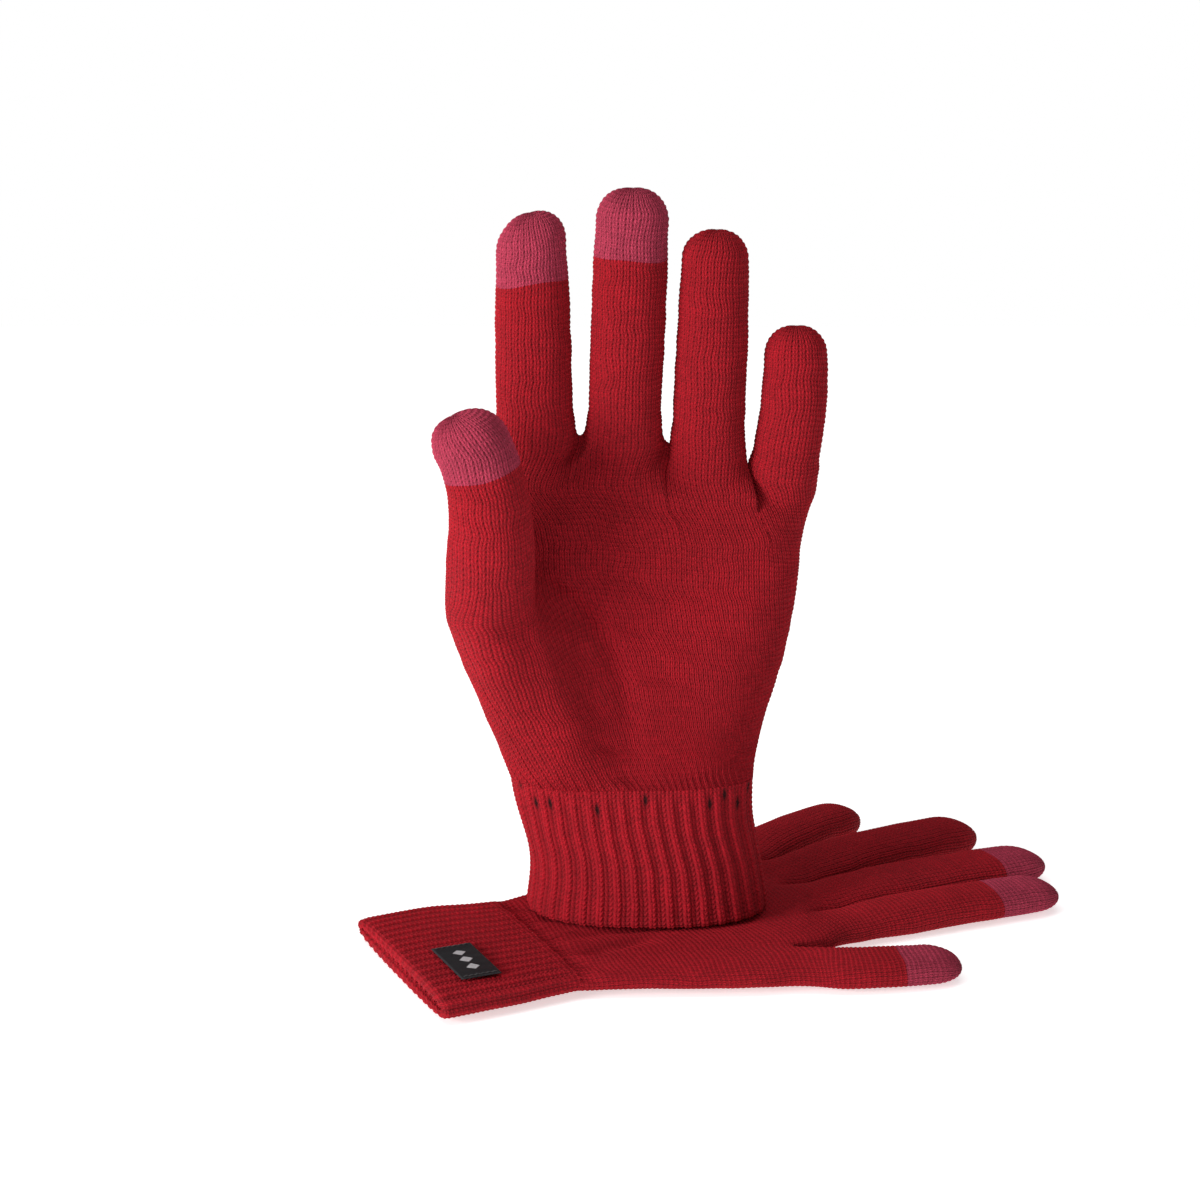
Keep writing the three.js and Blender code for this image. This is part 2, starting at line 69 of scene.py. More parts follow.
def new_group(name, inputs, outputs):
    """An empty shader group with named sockets, and its input and output nodes."""
    group = bpy.data.node_groups.new(name, "ShaderNodeTree")
    for label, kind, value in inputs:
        socket = group.interface.new_socket(label, in_out="INPUT", socket_type=kind)
        if value is not None:
            socket.default_value = value
    for label, kind in outputs:
        group.interface.new_socket(label, in_out="OUTPUT", socket_type=kind)
    return group, group.nodes.new("NodeGroupInput"), group.nodes.new("NodeGroupOutput")


def sums(tree):
    """A shorthand that adds a Math node to a tree and returns its result socket."""
    def add(operation, first, second=None, third=None, clamp=False):
        node = tree.nodes.new("ShaderNodeMath")
        node.operation = operation
        node.use_clamp = clamp
        for place, value in enumerate((first, second, third)):
            if value is None:
                continue
            if isinstance(value, (int, float)):
                node.inputs[place].default_value = value
            else:
                tree.links.new(value, node.inputs[place])
        return node.outputs[0]
    return add


def stitch_height(add, wale, course, slant):
    """The plain-knit relief over one wale and one course: two slanted legs and the furrows beside."""
    across = add("FRACT", wale)
    side = add("ABSOLUTE", add("MULTIPLY_ADD", across, 2.0, -1.0))
    leg = add("SINE", add("MULTIPLY", side, math.pi))
    middle = add("POWER", add("SUBTRACT", 1.0, side), 2.0)
    body = add("MULTIPLY_ADD", middle, 0.42, leg)
    lean = add("SUBTRACT", course, add("MULTIPLY", side, slant))
    wave = add("SINE", add("MULTIPLY", add("FRACT", lean), math.pi))
    pulse = add("MULTIPLY_ADD", wave, 0.68, 0.32)
    return add("MULTIPLY", body, pulse)


def make_stitch_shading():
    """Shader group: the relief of the stitches, the painted shade of their furrows and holes, and a tone for
    each stitch.
    """
    group, start, end = new_group(
        "Plain knit stitches",
        [("Stitch Place", "NodeSocketVector", None), ("Slant", "NodeSocketFloat", 0.75)],
        [("Height", "NodeSocketFloat"), ("Furrow Shade", "NodeSocketFloat"), ("Tone", "NodeSocketFloat")],
    )
    add = sums(group)
    place = group.nodes.new("ShaderNodeSeparateXYZ")
    group.links.new(start.outputs["Stitch Place"], place.inputs[0])
    height = stitch_height(add, place.outputs[0], place.outputs[1], start.outputs["Slant"])
    # Painted shade: the furrow mask rises where the stitch relief is low, and the holes between the stitches
    # add to it.
    furrow = add("SUBTRACT", 1.0, add("MULTIPLY", height, 1.25), clamp=True)
    columns = add("COSINE", add("MULTIPLY", place.outputs[0], 2 * math.pi))
    rows = add("COSINE", add("MULTIPLY", place.outputs[1], 2 * math.pi))
    hole = add("POWER", add("MAXIMUM", add("MULTIPLY", columns, rows), 0.0), 2.0)
    furrow = add("MULTIPLY_ADD", hole, 0.66, add("MULTIPLY", furrow, 0.62), clamp=True)
    height = add("MULTIPLY_ADD", hole, -0.35, height)
    cell = group.nodes.new("ShaderNodeCombineXYZ")
    group.links.new(add("FLOOR", add("MULTIPLY", place.outputs[0], 2.0)), cell.inputs[0])
    group.links.new(add("FLOOR", place.outputs[1]), cell.inputs[1])
    dice = group.nodes.new("ShaderNodeTexWhiteNoise")
    dice.noise_dimensions = "2D"
    group.links.new(cell.outputs[0], dice.inputs["Vector"])
    group.links.new(height, end.inputs["Height"])
    group.links.new(furrow, end.inputs["Furrow Shade"])
    group.links.new(dice.outputs["Value"], end.inputs["Tone"])
    return group


def make_fibre_shading():
    """Shader group: loose fibres, and the soft cloudiness of dyed yarn over the whole glove."""
    group, start, end = new_group(
        "Yarn fibres",
        [("Place", "NodeSocketVector", None), ("Fibres Per Metre", "NodeSocketFloat", 2600.0)],
        [("Fibre", "NodeSocketFloat"), ("Cloud", "NodeSocketFloat")],
    )
    fibre = group.nodes.new("ShaderNodeTexNoise")
    fibre.inputs["Detail"].default_value = 3.0
    fibre.inputs["Roughness"].default_value = 0.65
    fibre.inputs["Distortion"].default_value = 0.6
    cloud = group.nodes.new("ShaderNodeTexNoise")
    cloud.inputs["Scale"].default_value = 55.0
    cloud.inputs["Detail"].default_value = 3.0
    for node in (fibre, cloud):
        group.links.new(start.outputs["Place"], node.inputs["Vector"])
    group.links.new(start.outputs["Fibres Per Metre"], fibre.inputs["Scale"])
    group.links.new(fibre.outputs["Fac"], end.inputs["Fibre"])
    group.links.new(cloud.outputs["Fac"], end.inputs["Cloud"])
    return group


STITCHES = make_stitch_shading()
FIBRES = make_fibre_shading()


def mixed(tree, factor, first, second, mode="MIX"):
    """A colour Mix node's result. Colours are tuples or sockets."""
    node = tree.nodes.new("ShaderNodeMix")
    node.data_type = "RGBA"
    node.blend_type = mode
    for place, value in ((0, factor), (6, first), (7, second)):
        if isinstance(value, tuple):
            node.inputs[place].default_value = (*value, 1.0)
        elif isinstance(value, (int, float)):
            node.inputs[place].default_value = value
        else:
            tree.links.new(value, node.inputs[place])
    return node.outputs[2]


def yarn(name, colour, furrow_shade_colour, sheen_colour, ribs=0, holes_at=0.0):
    """A knitted-yarn material whose pattern follows the piece's own stitch map."""
    material = bpy.data.materials.new(name)
    material.use_nodes = True
    tree = material.node_tree
    shader = tree.nodes["Principled BSDF"]
    add = sums(tree)
    chart = tree.nodes.new("ShaderNodeUVMap")
    chart.uv_map = "stitches"
    knit = tree.nodes.new("ShaderNodeGroup")
    knit.node_tree = STITCHES
    tree.links.new(chart.outputs[0], knit.inputs["Stitch Place"])
    here = tree.nodes.new("ShaderNodeTexCoord")
    fibres = tree.nodes.new("ShaderNodeGroup")
    fibres.node_tree = FIBRES
    tree.links.new(here.outputs["Object"], fibres.inputs["Place"])

    # Painted shade: the furrow mask mixes the colour towards the furrow shade colour. In the cuffs the
    # channels between the ribs are darkened too.
    dark = knit.outputs["Furrow Shade"]
    if ribs:
        # Painted shade in the channels between the ribs. Lower down it replaces part of the furrow shade.
        # Towards the top of the ribs it fades out, and the furrow shade comes back in full.
        place = tree.nodes.new("ShaderNodeSeparateXYZ")
        tree.links.new(chart.outputs[0], place.inputs[0])
        turn = add("MULTIPLY", place.outputs[0], math.pi)
        recess = add("MULTIPLY_ADD", add("SINE", turn), -0.5, 0.5)
        recess = add("POWER", recess, 2.5)
        below_top = add("MULTIPLY_ADD", place.outputs[1], -0.16, 0.16 * ribs, clamp=True)
        shaded = add("MULTIPLY", add("MULTIPLY", recess, below_top), 0.36)
        dark = add("MULTIPLY_ADD", dark, add("MULTIPLY_ADD", below_top, -0.3, 1.0), shaded, clamp=True)
    tone = add("MULTIPLY_ADD", knit.outputs["Tone"], 0.24, 0.88)
    cloud = add("MULTIPLY_ADD", fibres.outputs["Cloud"], 0.36, 0.82)
    base = mixed(tree, dark, colour, furrow_shade_colour)
    # Painted sheen: where the fibre noise is high, the colour turns towards the lighter, pinker sheen
    # colour.
    painted_fibre_sheen = add("MULTIPLY", add("POWER", fibres.outputs["Fibre"], 3.0), 0.75, clamp=True)
    base = mixed(tree, painted_fibre_sheen, base, sheen_colour)
    value = add("MULTIPLY", tone, cloud)
    grey = tree.nodes.new("ShaderNodeCombineXYZ")
    for place_index in range(3):
        tree.links.new(value, grey.inputs[place_index])
    base = mixed(tree, 1.0, base, grey.outputs[0], mode="MULTIPLY")
    if holes_at:
        # Painted shade: short near-black dashes in the channels between the ribs. Each sits at a random
        # course near the top of the ribs, on some pairs of wales.
        chance = tree.nodes.new("ShaderNodeTexWhiteNoise")
        chance.noise_dimensions = "1D"
        tree.links.new(add("FLOOR", add("MULTIPLY", place.outputs[0], 0.5)), chance.inputs["W"])
        level = add("MULTIPLY_ADD", chance.outputs["Value"], -5.0, holes_at + 2.2)
        band = add("ABSOLUTE", add("SUBTRACT", place.outputs[1], level))
        band = add("SUBTRACT", 1.0, add("MULTIPLY", band, 0.55), clamp=True)
        open_here = tree.nodes.new("ShaderNodeSeparateColor")
        tree.links.new(chance.outputs["Color"], open_here.inputs[0])
        spot = add("MULTIPLY", band, add("POWER", recess, 2.2))
        spot = add("MULTIPLY", spot, add("GREATER_THAN", open_here.outputs[1], 0.35))
        base = mixed(tree, add("MULTIPLY", spot, 1.5, clamp=True), base, (0.026, 0.0004, 0.0012))
    tree.links.new(base, shader.inputs["Base Color"])
    rough = add("MULTIPLY_ADD", fibres.outputs["Fibre"], 0.2, 0.78, clamp=True)
    tree.links.new(rough, shader.inputs["Roughness"])
    shader.inputs["Specular IOR Level"].default_value = 0.25
    shader.inputs["Sheen Weight"].default_value = 0.12
    shader.inputs["Sheen Roughness"].default_value = 0.45
    shader.inputs["Sheen Tint"].default_value = (*sheen_colour, 1.0)
    relief = add("MULTIPLY_ADD", fibres.outputs["Fibre"], 0.35, knit.outputs["Height"])
    bump = tree.nodes.new("ShaderNodeBump")
    bump.inputs["Strength"].default_value = 0.75
    bump.inputs["Distance"].default_value = 0.00045
    tree.links.new(relief, bump.inputs["Height"])
    tree.links.new(bump.outputs[0], shader.inputs["Normal"])
    return material


RED_KNIT = yarn("Red knit", RED, RED_FURROW_SHADE, RED_SHEEN)
RED_RIB = yarn("Red rib", RED, RED_FURROW_SHADE, RED_SHEEN, ribs=29, holes_at=26.5)
RED_RIB_LYING = yarn("Red rib of the lying glove", RED, RED_FURROW_SHADE, RED_SHEEN, ribs=30)


# ------------------------------------------------------------------ the knitting of a whole glove
# A glove is knitted round and round as tubes: one for each finger, which join into the palm, then
# the thumb's tube joins it, and a ribbed cuff ends it. One quad here is one stitch of the fabric.
COURSE = 1.45  # mm from one round of stitches to the next
HALF_WALES = (16, 16, 16, 14)  # on the front of the index, middle, ring and little finger
THUMB_WALES = 34
PALM_WALES = 2 * (sum(HALF_WALES) + 3)
RIB_WALES = 72  # 36 ribs
SECTION_STEPS = 1440  # round a section, when it is measured
CROTCH_MARGIN = 12  # of those steps, left free beside the thumb
CUFF, PALM_LOW_FRONT, PALM_LOW_BACK, PALM_TOP, THUMB, THUMB_CAP = range(6)
FINGER_BASE, FINGER_END, FINGER_CAP = 10, 20, 30  # plus the finger's number


def oval(half, depth, squareness, shares):
    """Points of a section at these shares of its girth, from the left side over the front."""
    angle = math.pi + np.linspace(0, 2 * math.pi, SECTION_STEPS + 1)
    c, s = np.cos(angle), np.sin(angle)
    x = half * np.sign(c) * np.abs(c) ** (2 / squareness)
    y = depth * np.sign(s) * np.abs(s) ** (2 / squareness)
    run = np.concatenate([[0], np.cumsum(np.hypot(np.diff(x), np.diff(y)))])
    at = (np.asarray(shares) % 1.0) * run[-1]
    return np.stack([np.interp(at, run, x), np.interp(at, run, y)], 1)


def evenly(count, start=0.0):
    """Evenly spaced shares of a round."""
    return start + np.arange(count) / count


def along_line(points, count):
    """The points of a bent line, evenly spaced: count steps from its first point to its last."""
    points = np.asarray(points, float)
    run = np.concatenate([[0], np.cumsum(np.linalg.norm(np.diff(points, axis=0), axis=1))])
    at = np.linspace(0, run[-1], count + 1)
    return np.stack([np.interp(at, run, points[:, k]) for k in range(points.shape[1])], 1)


def rounded(points, parts=12):
    """A smooth line through the given points."""
    p = np.asarray(points, float)
    p = np.vstack([2 * p[0] - p[1], p, 2 * p[-1] - p[-2]])
    out = []
    for k in range(1, len(p) - 2):
        for t in np.linspace(0, 1, parts, endpoint=False):
            a, b, c, d = p[k - 1], p[k], p[k + 1], p[k + 2]
            out.append(0.5 * (2 * b + (c - a) * t + (2 * a - 5 * b + 4 * c - d) * t * t
                              + (3 * b - a - 3 * c + d) * t ** 3))
    out.append(p[-2])
    return np.array(out)


def ease(t, low=0.0, high=1.0):
    """A smooth step from 0 at low to 1 at high, which may be the smaller of the two."""
    t = np.clip((np.asarray(t, float) - low) / (high - low), 0, 1)
    return t * t * (3 - 2 * t)


class Knitting:
    """Collects the rounds of a glove: points, the quads between rounds, and each quad's stitch."""

    def __init__(self):
        self.points = []
        self.quads = []
        self.chart = []
        self.piece = []

    def round(self, points):
        """Adds a round of points and returns their numbers."""
        first = len(self.points)
        self.points.extend(np.asarray(points, float))
        return list(range(first, len(self.points)))

    def knit(self, low, high, course, piece, wale=0):
        """Stitches between two rounds. piece is a number, or a list with one for each wale.

        wale is the number of the first wale, or a list with every wale's number.
        """
        count = len(low)
        for k in range(count):
            n = (k + 1) % count
            self.quads.append((low[k], low[n], high[n], high[k]))
            u = wale + k if isinstance(wale, int) else wale[k]
            self.chart.append(((u, course), (u + 1, course), (u + 1, course + 1), (u, course + 1)))
            self.piece.append(piece if isinstance(piece, int) else piece[k])


def sections_at(sections, z):
    """Centre, half width, depth and squareness of a glove's body at height z."""
    table = np.array(sections, float)
    z = np.asarray(z, float)
    fine = rounded(table)
    order = np.argsort(fine[:, 0], kind="stable")
    fine = fine[order]
    return [np.interp(z, fine[:, 0], fine[:, k]) for k in range(1, 5)]


def body_round(glove, z, shares, inset=0.0):
    """A round of the cuff or palm at height z, which may differ from wale to wale."""
    z = np.broadcast_to(z, len(shares)).astype(float)
    x, half, depth, square = sections_at(glove["sections"], z)
    out = np.empty((len(shares), 3))
    for k in range(len(shares)):
        point = oval(half[k] - inset, depth[k] - inset, square[k], [shares[k]])[0]
        out[k] = (x[k] + point[0], glove["middle"] + point[1], z[k])
    return out


def body_round_flat(glove, z, shares, inset=0.0):
    """The same for a round at one height, which is quicker."""
    x, half, depth, square = [float(v) for v in sections_at(glove["sections"], z)]
    points = oval(half - inset, depth - inset, square, shares)
    return np.column_stack([points[:, 0] + x, points[:, 1] + glove["middle"], np.full(len(shares), z)])


def tube(knitting, limb, base_ids, course, pieces, wales_start, girth_start):
    """Knits a finger or the thumb from its base round to its closed tip.

    pieces lists how far along the tube each piece starts, and its number.
    """
    count = len(base_ids)
    base = np.array([knitting.points[i] for i in base_ids])
    line = rounded(limb["line"])
    run = np.concatenate([[0], np.cumsum(np.linalg.norm(np.diff(line, axis=0), axis=1))])
    length = run[-1]
    dome = limb["dome"]
    straight = length - dome
    steps = max(3, round(straight / COURSE))
    dome_steps = max(5, round(dome * 1.35 / COURSE))
    stations = [(straight * (k + 1) / steps, 0.0) for k in range(steps)]
    for k in range(dome_steps):
        a = (math.pi / 2) * (k + 1) / dome_steps
        stations.append((straight + dome * math.sin(a), a))
    low = base_ids
    shares = evenly(count, girth_start)
    for number, (s, closing) in enumerate(stations):
        centre = np.array([np.interp(s, run, line[:, k]) for k in range(3)])
        ahead = np.array([np.interp(min(s + 1.5, length), run, line[:, k]) for k in range(3)])
        behind = np.array([np.interp(min(s, length - 1.5) - 1.5, run, line[:, k]) for k in range(3)])
        way = ahead - behind
        way /= np.linalg.norm(way)
        way = way + np.array(limb.get("tilt", (0, 0, 0))) * ease(s, 0.5 * length, length)
        way /= np.linalg.norm(way)
        across = np.cross((0, 1, 0), way)
        across /= np.linalg.norm(across)
        deep = np.cross(way, across)
        share = s / length
        half = np.interp(share, limb["shares"], limb["halves"])
        depth = np.interp(share, limb["shares"], limb["depths"])
        last = number == len(stations) - 1
        narrow = max(math.cos(closing) ** 0.76, 0.16) if closing < 1.57 else 0.16
        thin = 0.0 if last else math.cos(closing)
        ring = oval(half, depth, limb["square"], shares)
        ring = centre + np.outer(ring[:, 0] * narrow, across) + np.outer(ring[:, 1] * thin, deep)
        free = ease(s, 0, limb["settles"])
        shifted = base + (centre - np.array(line[0]))
        ring = (1 - free) * shifted + free * ring
        if last:
            half_count = count // 2
            offset = round(-girth_start * count) % count
            turned = [(offset + k) % count for k in range(count)]
            ids = [0] * count
            fold = knitting.round([ring[turned[k]] for k in range(half_count + 1)])
            for k in range(count):
                ids[turned[k]] = fold[k] if k <= half_count else fold[count - k]
            high = ids
        else:
            high = knitting.round(ring)
        piece = [part for starts, part in pieces if s > starts][-1]
        knitting.knit(low, high, course + number, piece, wales_start)
        low = high


def soften(points, quads, strength, rounds, hold=0.52):
    """Relaxes the fabric where strength is above 0. With a lower hold it also draws tight."""
    count = len(points)
    edges = np.vstack([quads[:, [0, 1]], quads[:, [1, 2]], quads[:, [2, 3]], quads[:, [3, 0]]])
    edges = np.unique(np.sort(edges, axis=1), axis=0)
    degree = np.bincount(edges.ravel(), minlength=count)[:, None]
    for step in range(2 * rounds):
        total = np.zeros_like(points)
        for k in range(3):
            total[:, k] = np.bincount(edges[:, 0], points[edges[:, 1], k], count)
            total[:, k] += np.bincount(edges[:, 1], points[edges[:, 0], k], count)
        pull = total / np.maximum(degree, 1) - points
        points = points + pull * strength[:, None] * (0.6 if step % 2 == 0 else -hold)
    return points


def glove_fabric(glove):
    """The whole glove's fabric as points, quads, stitch chart and piece numbers, in its own frame."""
    knitting = Knitting()

    # Cuff: inner lining, rolled starting edge, ribbed wall
    shares = evenly(RIB_WALES)
    low = None
    hem = glove["hem"]
    cuff_top = glove["cuff"]
    lip = glove["lip"] / 2
    stations = [(hem + lip + 1.5 * k, 2 * lip) for k in range(glove["lining_rounds"], 0, -1)]
    for turn in (165, 120, 80, 40):
        a = math.radians(turn)
        stations.append((hem + lip * (1 - math.sin(a)), lip * (1 - math.cos(a))))
    rib_rounds = round((cuff_top - hem - 1.5) / COURSE)
    stations += [(hem + 1.5 + (cuff_top - hem - 1.5) * k / (rib_rounds - 1), 0.0) for k in range(rib_rounds)]
    stations += [(cuff_top + 0.5, 0.6), (cuff_top + 0.2, 1.5)]
    course = -(glove["lining_rounds"] + 3)
    for z, inset in stations:
        high = knitting.round(body_round_flat(glove, z, shares, inset))
        if low is not None:
            knitting.knit(low, high, course, CUFF)
            course += 1
        low = high

    # Crotch of the thumb: the outline round palm and thumb, and the fold between them
    thumb = glove["thumb"]
    saddle_front, saddle_back = glove["saddle_wales"]
    saddle_count = saddle_front + saddle_back
    arc_count = THUMB_WALES - saddle_count
    outer_count = PALM_WALES - saddle_count
    arc = along_line(rounded(thumb["outline"]), arc_count)
    front, back = arc[-1], arc[0]
    level = float(front[2])
    x, half, depth, square = [float(v) for v in sections_at(glove["sections"], level)]
    dense = oval(half, depth, square, np.linspace(0, 0.99999, SECTION_STEPS + 1))
    side = SECTION_STEPS // 2
    dense = np.column_stack([dense[:, 0] + x, dense[:, 1] + glove["middle"]])
    near_front = int(np.argmin(np.hypot(*(dense[:side] - front[:2]).T)))
    near_back = side + int(np.argmin(np.hypot(*(dense[side:] - back[:2]).T)))
    body = dense[near_front + CROTCH_MARGIN: near_back - CROTCH_MARGIN]
    body = np.column_stack([body, np.full(len(body), level)])
    body[:, 2] = level + glove["crotch_rise"] * np.exp(-((body[:, 0] - front[0]) / 30) ** 2)
    outer = along_line(np.vstack([[front], body, [back]]), outer_count)
    saddle_middle = (front + back) / 2 + np.array(thumb["saddle_shift"])
    saddle = along_line(rounded([front, saddle_middle, back]), saddle_count)

    arc_ids = knitting.round(arc)
    outer_ids = [arc_ids[-1]] + knitting.round(outer[1:-1]) + [arc_ids[0]]
    saddle_ids = [arc_ids[-1]] + knitting.round(saddle[1:-1]) + [arc_ids[0]]
    whole_ids = arc_ids[:-1] + outer_ids[:-1]

    # Lower palm, from inside the cuff's top to the crotch of the thumb
    wrist_level = cuff_top - 0.8
    back_share, front_share = glove["wrist_shares"]
    shares = np.concatenate([
        back_share + (front_share - back_share) * np.arange(arc_count) / arc_count,
        front_share + (1 + back_share - front_share) * np.arange(outer_count) / outer_count,
    ])
    wrist = body_round_flat(glove, wrist_level, shares, 0.3)
    goal = np.array([knitting.points[i] for i in whole_ids])
    rounds = round((level - wrist_level) / COURSE)
    palm_right = arc_count + PALM_WALES // 2 - saddle_front
    sides = [PALM_LOW_FRONT if arc_count // 2 <= k < palm_right else PALM_LOW_BACK
             for k in range(len(whole_ids))]
    front_turn = near_front / SECTION_STEPS
    back_turn = near_back / SECTION_STEPS
    steps = np.arange(outer_count)
    settled = ease(steps, 0, 14) * ease(outer_count - steps, 0, 14)
    low = knitting.round(wrist)
    first_wale = saddle_back % 2
    wales = [first_wale + k for k in range(arc_count)] + [saddle_front + k for k in range(outer_count)]
    for r in range(rounds):
        t = (r + 1) / rounds
        if r == rounds - 1:
            high = whole_ids
        else:
            ring = wrist + (goal - wrist) * t
            spread = t ** glove["spread"]
            ring[:, :2] = wrist[:, :2] + (goal - wrist)[:, :2] * spread
            turned = shares[arc_count:] * (1 - t) + t * (
                front_turn + (back_turn - front_turn) * steps / outer_count)
            on_body = body_round(glove, ring[arc_count:, 2], turned, 0.3 * (1 - t))
            ring[arc_count:, :2] += settled[:, None] * (on_body - ring[arc_count:])[:, :2]
            high = knitting.round(ring)
        knitting.knit(low, high, r, sides, wales)
        low = high
    crotch_course = rounds

    # Thumb
    thumb_ids = arc_ids[:-1] + saddle_ids[:-1]
    thumb_pieces = [(-1, THUMB), (thumb["cap_from"], THUMB_CAP)]
    tube(knitting, thumb, thumb_ids, crotch_course, thumb_pieces, first_wale, thumb["girth_start"])

    # Finger bases side by side, joined into one round with a stitch between neighbours
    base_ids = []
    for finger, half_wales in zip(glove["fingers"], HALF_WALES):
        ring = oval(finger["halves"][0], finger["depths"][0], finger["square"], evenly(2 * half_wales))
        start = np.array(finger["line"][0], float)
        way = np.array(finger["line"][1], float) - start
        slope = way[0] / way[2]
        points = np.column_stack([
            start[0] + ring[:, 0], start[1] + ring[:, 1], start[2] - ring[:, 0] * slope,
        ])
        dip = finger["dip"] * (np.abs(ring[:, 0]) / finger["halves"][0]) ** 4
        points[:, 2] += dip
        base_ids.append(knitting.round(points))
    fronts, backs = [], []
    for ids, half_wales in zip(base_ids, HALF_WALES):
        fronts += ids[:half_wales + 1]
        backs = ids[half_wales:] + ids[:1] + backs
    knuckle_ids = fronts[:-1] + backs[:-1]

    # Upper palm, from the crotch of the thumb to the fingers
    around = saddle_ids[::-1][:-1]
    palm_ids = around[saddle_back:] + outer_ids[:-1] + around[:saddle_back]
    start_ring = np.array([knitting.points[i] for i in palm_ids])
    end_ring = np.array([knitting.points[i] for i in knuckle_ids])
    rise = float(np.mean(end_ring[:, 2]) - np.mean(start_ring[:, 2]))
    rounds = round(rise / COURSE)
    shares = evenly(PALM_WALES)
    gap = 1 + front_turn - back_turn
    start_shares = np.concatenate([
        back_turn - 1 + gap * np.arange(saddle_back, saddle_count) / saddle_count,
        front_turn + (back_turn - front_turn) * np.arange(outer_count) / outer_count,
        back_turn + gap * np.arange(saddle_back) / saddle_count,
    ])
    low = palm_ids
    for r in range(rounds):
        t = (r + 1) / rounds
        if r == rounds - 1:
            high = knuckle_ids
        else:
            z = start_ring[:, 2] + (end_ring[:, 2] - start_ring[:, 2]) * t
            turned = ease(t, 0, 0.9)
            ring = body_round(glove, z, start_shares * (1 - turned) + shares * turned)
            leaving = ease(t, 0, glove["crotch_reach"])
            arriving = ease(t, 1 - glove["web_reach"], 1.0)
            ring = start_ring * (1 - leaving) + ring * leaving
            ring = ring * (1 - arriving) + end_ring * arriving
            ring[:, 2] = z
            high = knitting.round(ring)
        knitting.knit(low, high, crotch_course + r, PALM_TOP, 0)
        low = high
    finger_course = crotch_course + rounds

    # Fingers
    first = 0
    for number, (finger, half_wales) in enumerate(zip(glove["fingers"], HALF_WALES)):
        ids = base_ids[number]
        finger_pieces = [
            (-1, FINGER_BASE + number),
            (finger["split"], FINGER_END + number),
            (finger["cap_from"], FINGER_CAP + number),
        ]
        tube(knitting, finger, ids, finger_course, finger_pieces, first, 0.0)
        first += half_wales + 1

    points = np.array(knitting.points)
    quads = np.array(knitting.quads)
    webs = [points[base_ids[k][HALF_WALES[k]]] for k in range(3)]
    webs.append(saddle_middle)
    strength = np.zeros(len(points))
    for spot, reach in zip(webs, glove["soft_reach"]):
        away = np.linalg.norm(points - spot, axis=1)
        strength = np.maximum(strength, ease(1 - away / reach, 0, 0.8))
    points = soften(points, quads, strength, glove["soft_rounds"])
    away = np.linalg.norm(points - np.array(thumb["root_side"]), axis=1)
    strength = np.maximum(ease(1 - away / 16, 0, 0.7), 0.7 * ease(1 - np.abs(points[:, 2] - level) / 13))
    points = soften(points, quads, strength, 30)
    if glove["heel"]:
        x, y, z = points.T
        strength = ease(1 - np.abs(x + 27) / 22) * ease(-y, 5, 11) * ease(z, 54, 72) * ease(z, 113, 103)
        points = soften(points, quads, strength, glove["heel"], 0.0)
    points = glove["shape"](points)
    return points, quads, np.array(knitting.chart, float), np.array(knitting.piece, np.int32)


def vectors(tree):
    """A shorthand that adds a Vector Math node to a tree and returns its result socket."""
    def work(operation, first, second=None, third=None, scale=None):
        node = tree.nodes.new("ShaderNodeVectorMath")
        node.operation = operation
        for place, value in ((0, first), (1, second), (2, third), ("Scale", scale)):
            if value is None:
                continue
            if isinstance(value, (int, float, tuple)):
                node.inputs[place].default_value = value
            else:
                tree.links.new(value, node.inputs[place])
        return node.outputs["Value" if operation == "DOT_PRODUCT" else "Vector"]
    return work


def end_tree(tree, geometry, material, end):
    """Ends a Geometry Nodes tree: instances made real, then their material."""
    realize = tree.nodes.new("GeometryNodeRealizeInstances")
    tree.links.new(geometry, realize.inputs[0])
    dye = tree.nodes.new("GeometryNodeSetMaterial")
    tree.links.new(realize.outputs[0], dye.inputs["Geometry"])
    tree.links.new(material, dye.inputs["Material"])
    tree.links.new(dye.outputs[0], end.inputs[0])


def run_tree(mesh, tree, given):
    """Runs a Geometry Nodes tree on a mesh with these inputs and returns the plain result."""
    blank = bpy.data.objects.new("blank", mesh)
    bpy.context.scene.collection.objects.link(blank)
    modifier = blank.modifiers.new(tree.name, "NODES")
    modifier.node_group = tree
    for item in tree.interface.items_tree:
        if item.in_out == "INPUT" and item.name in given:
            modifier[item.identifier] = given[item.name]
    bpy.context.view_layer.update()
    ready = blank.evaluated_get(bpy.context.evaluated_depsgraph_get())
    result = bpy.data.meshes.new_from_object(ready)
    bpy.data.objects.remove(blank)
    bpy.data.meshes.remove(mesh)
    return result


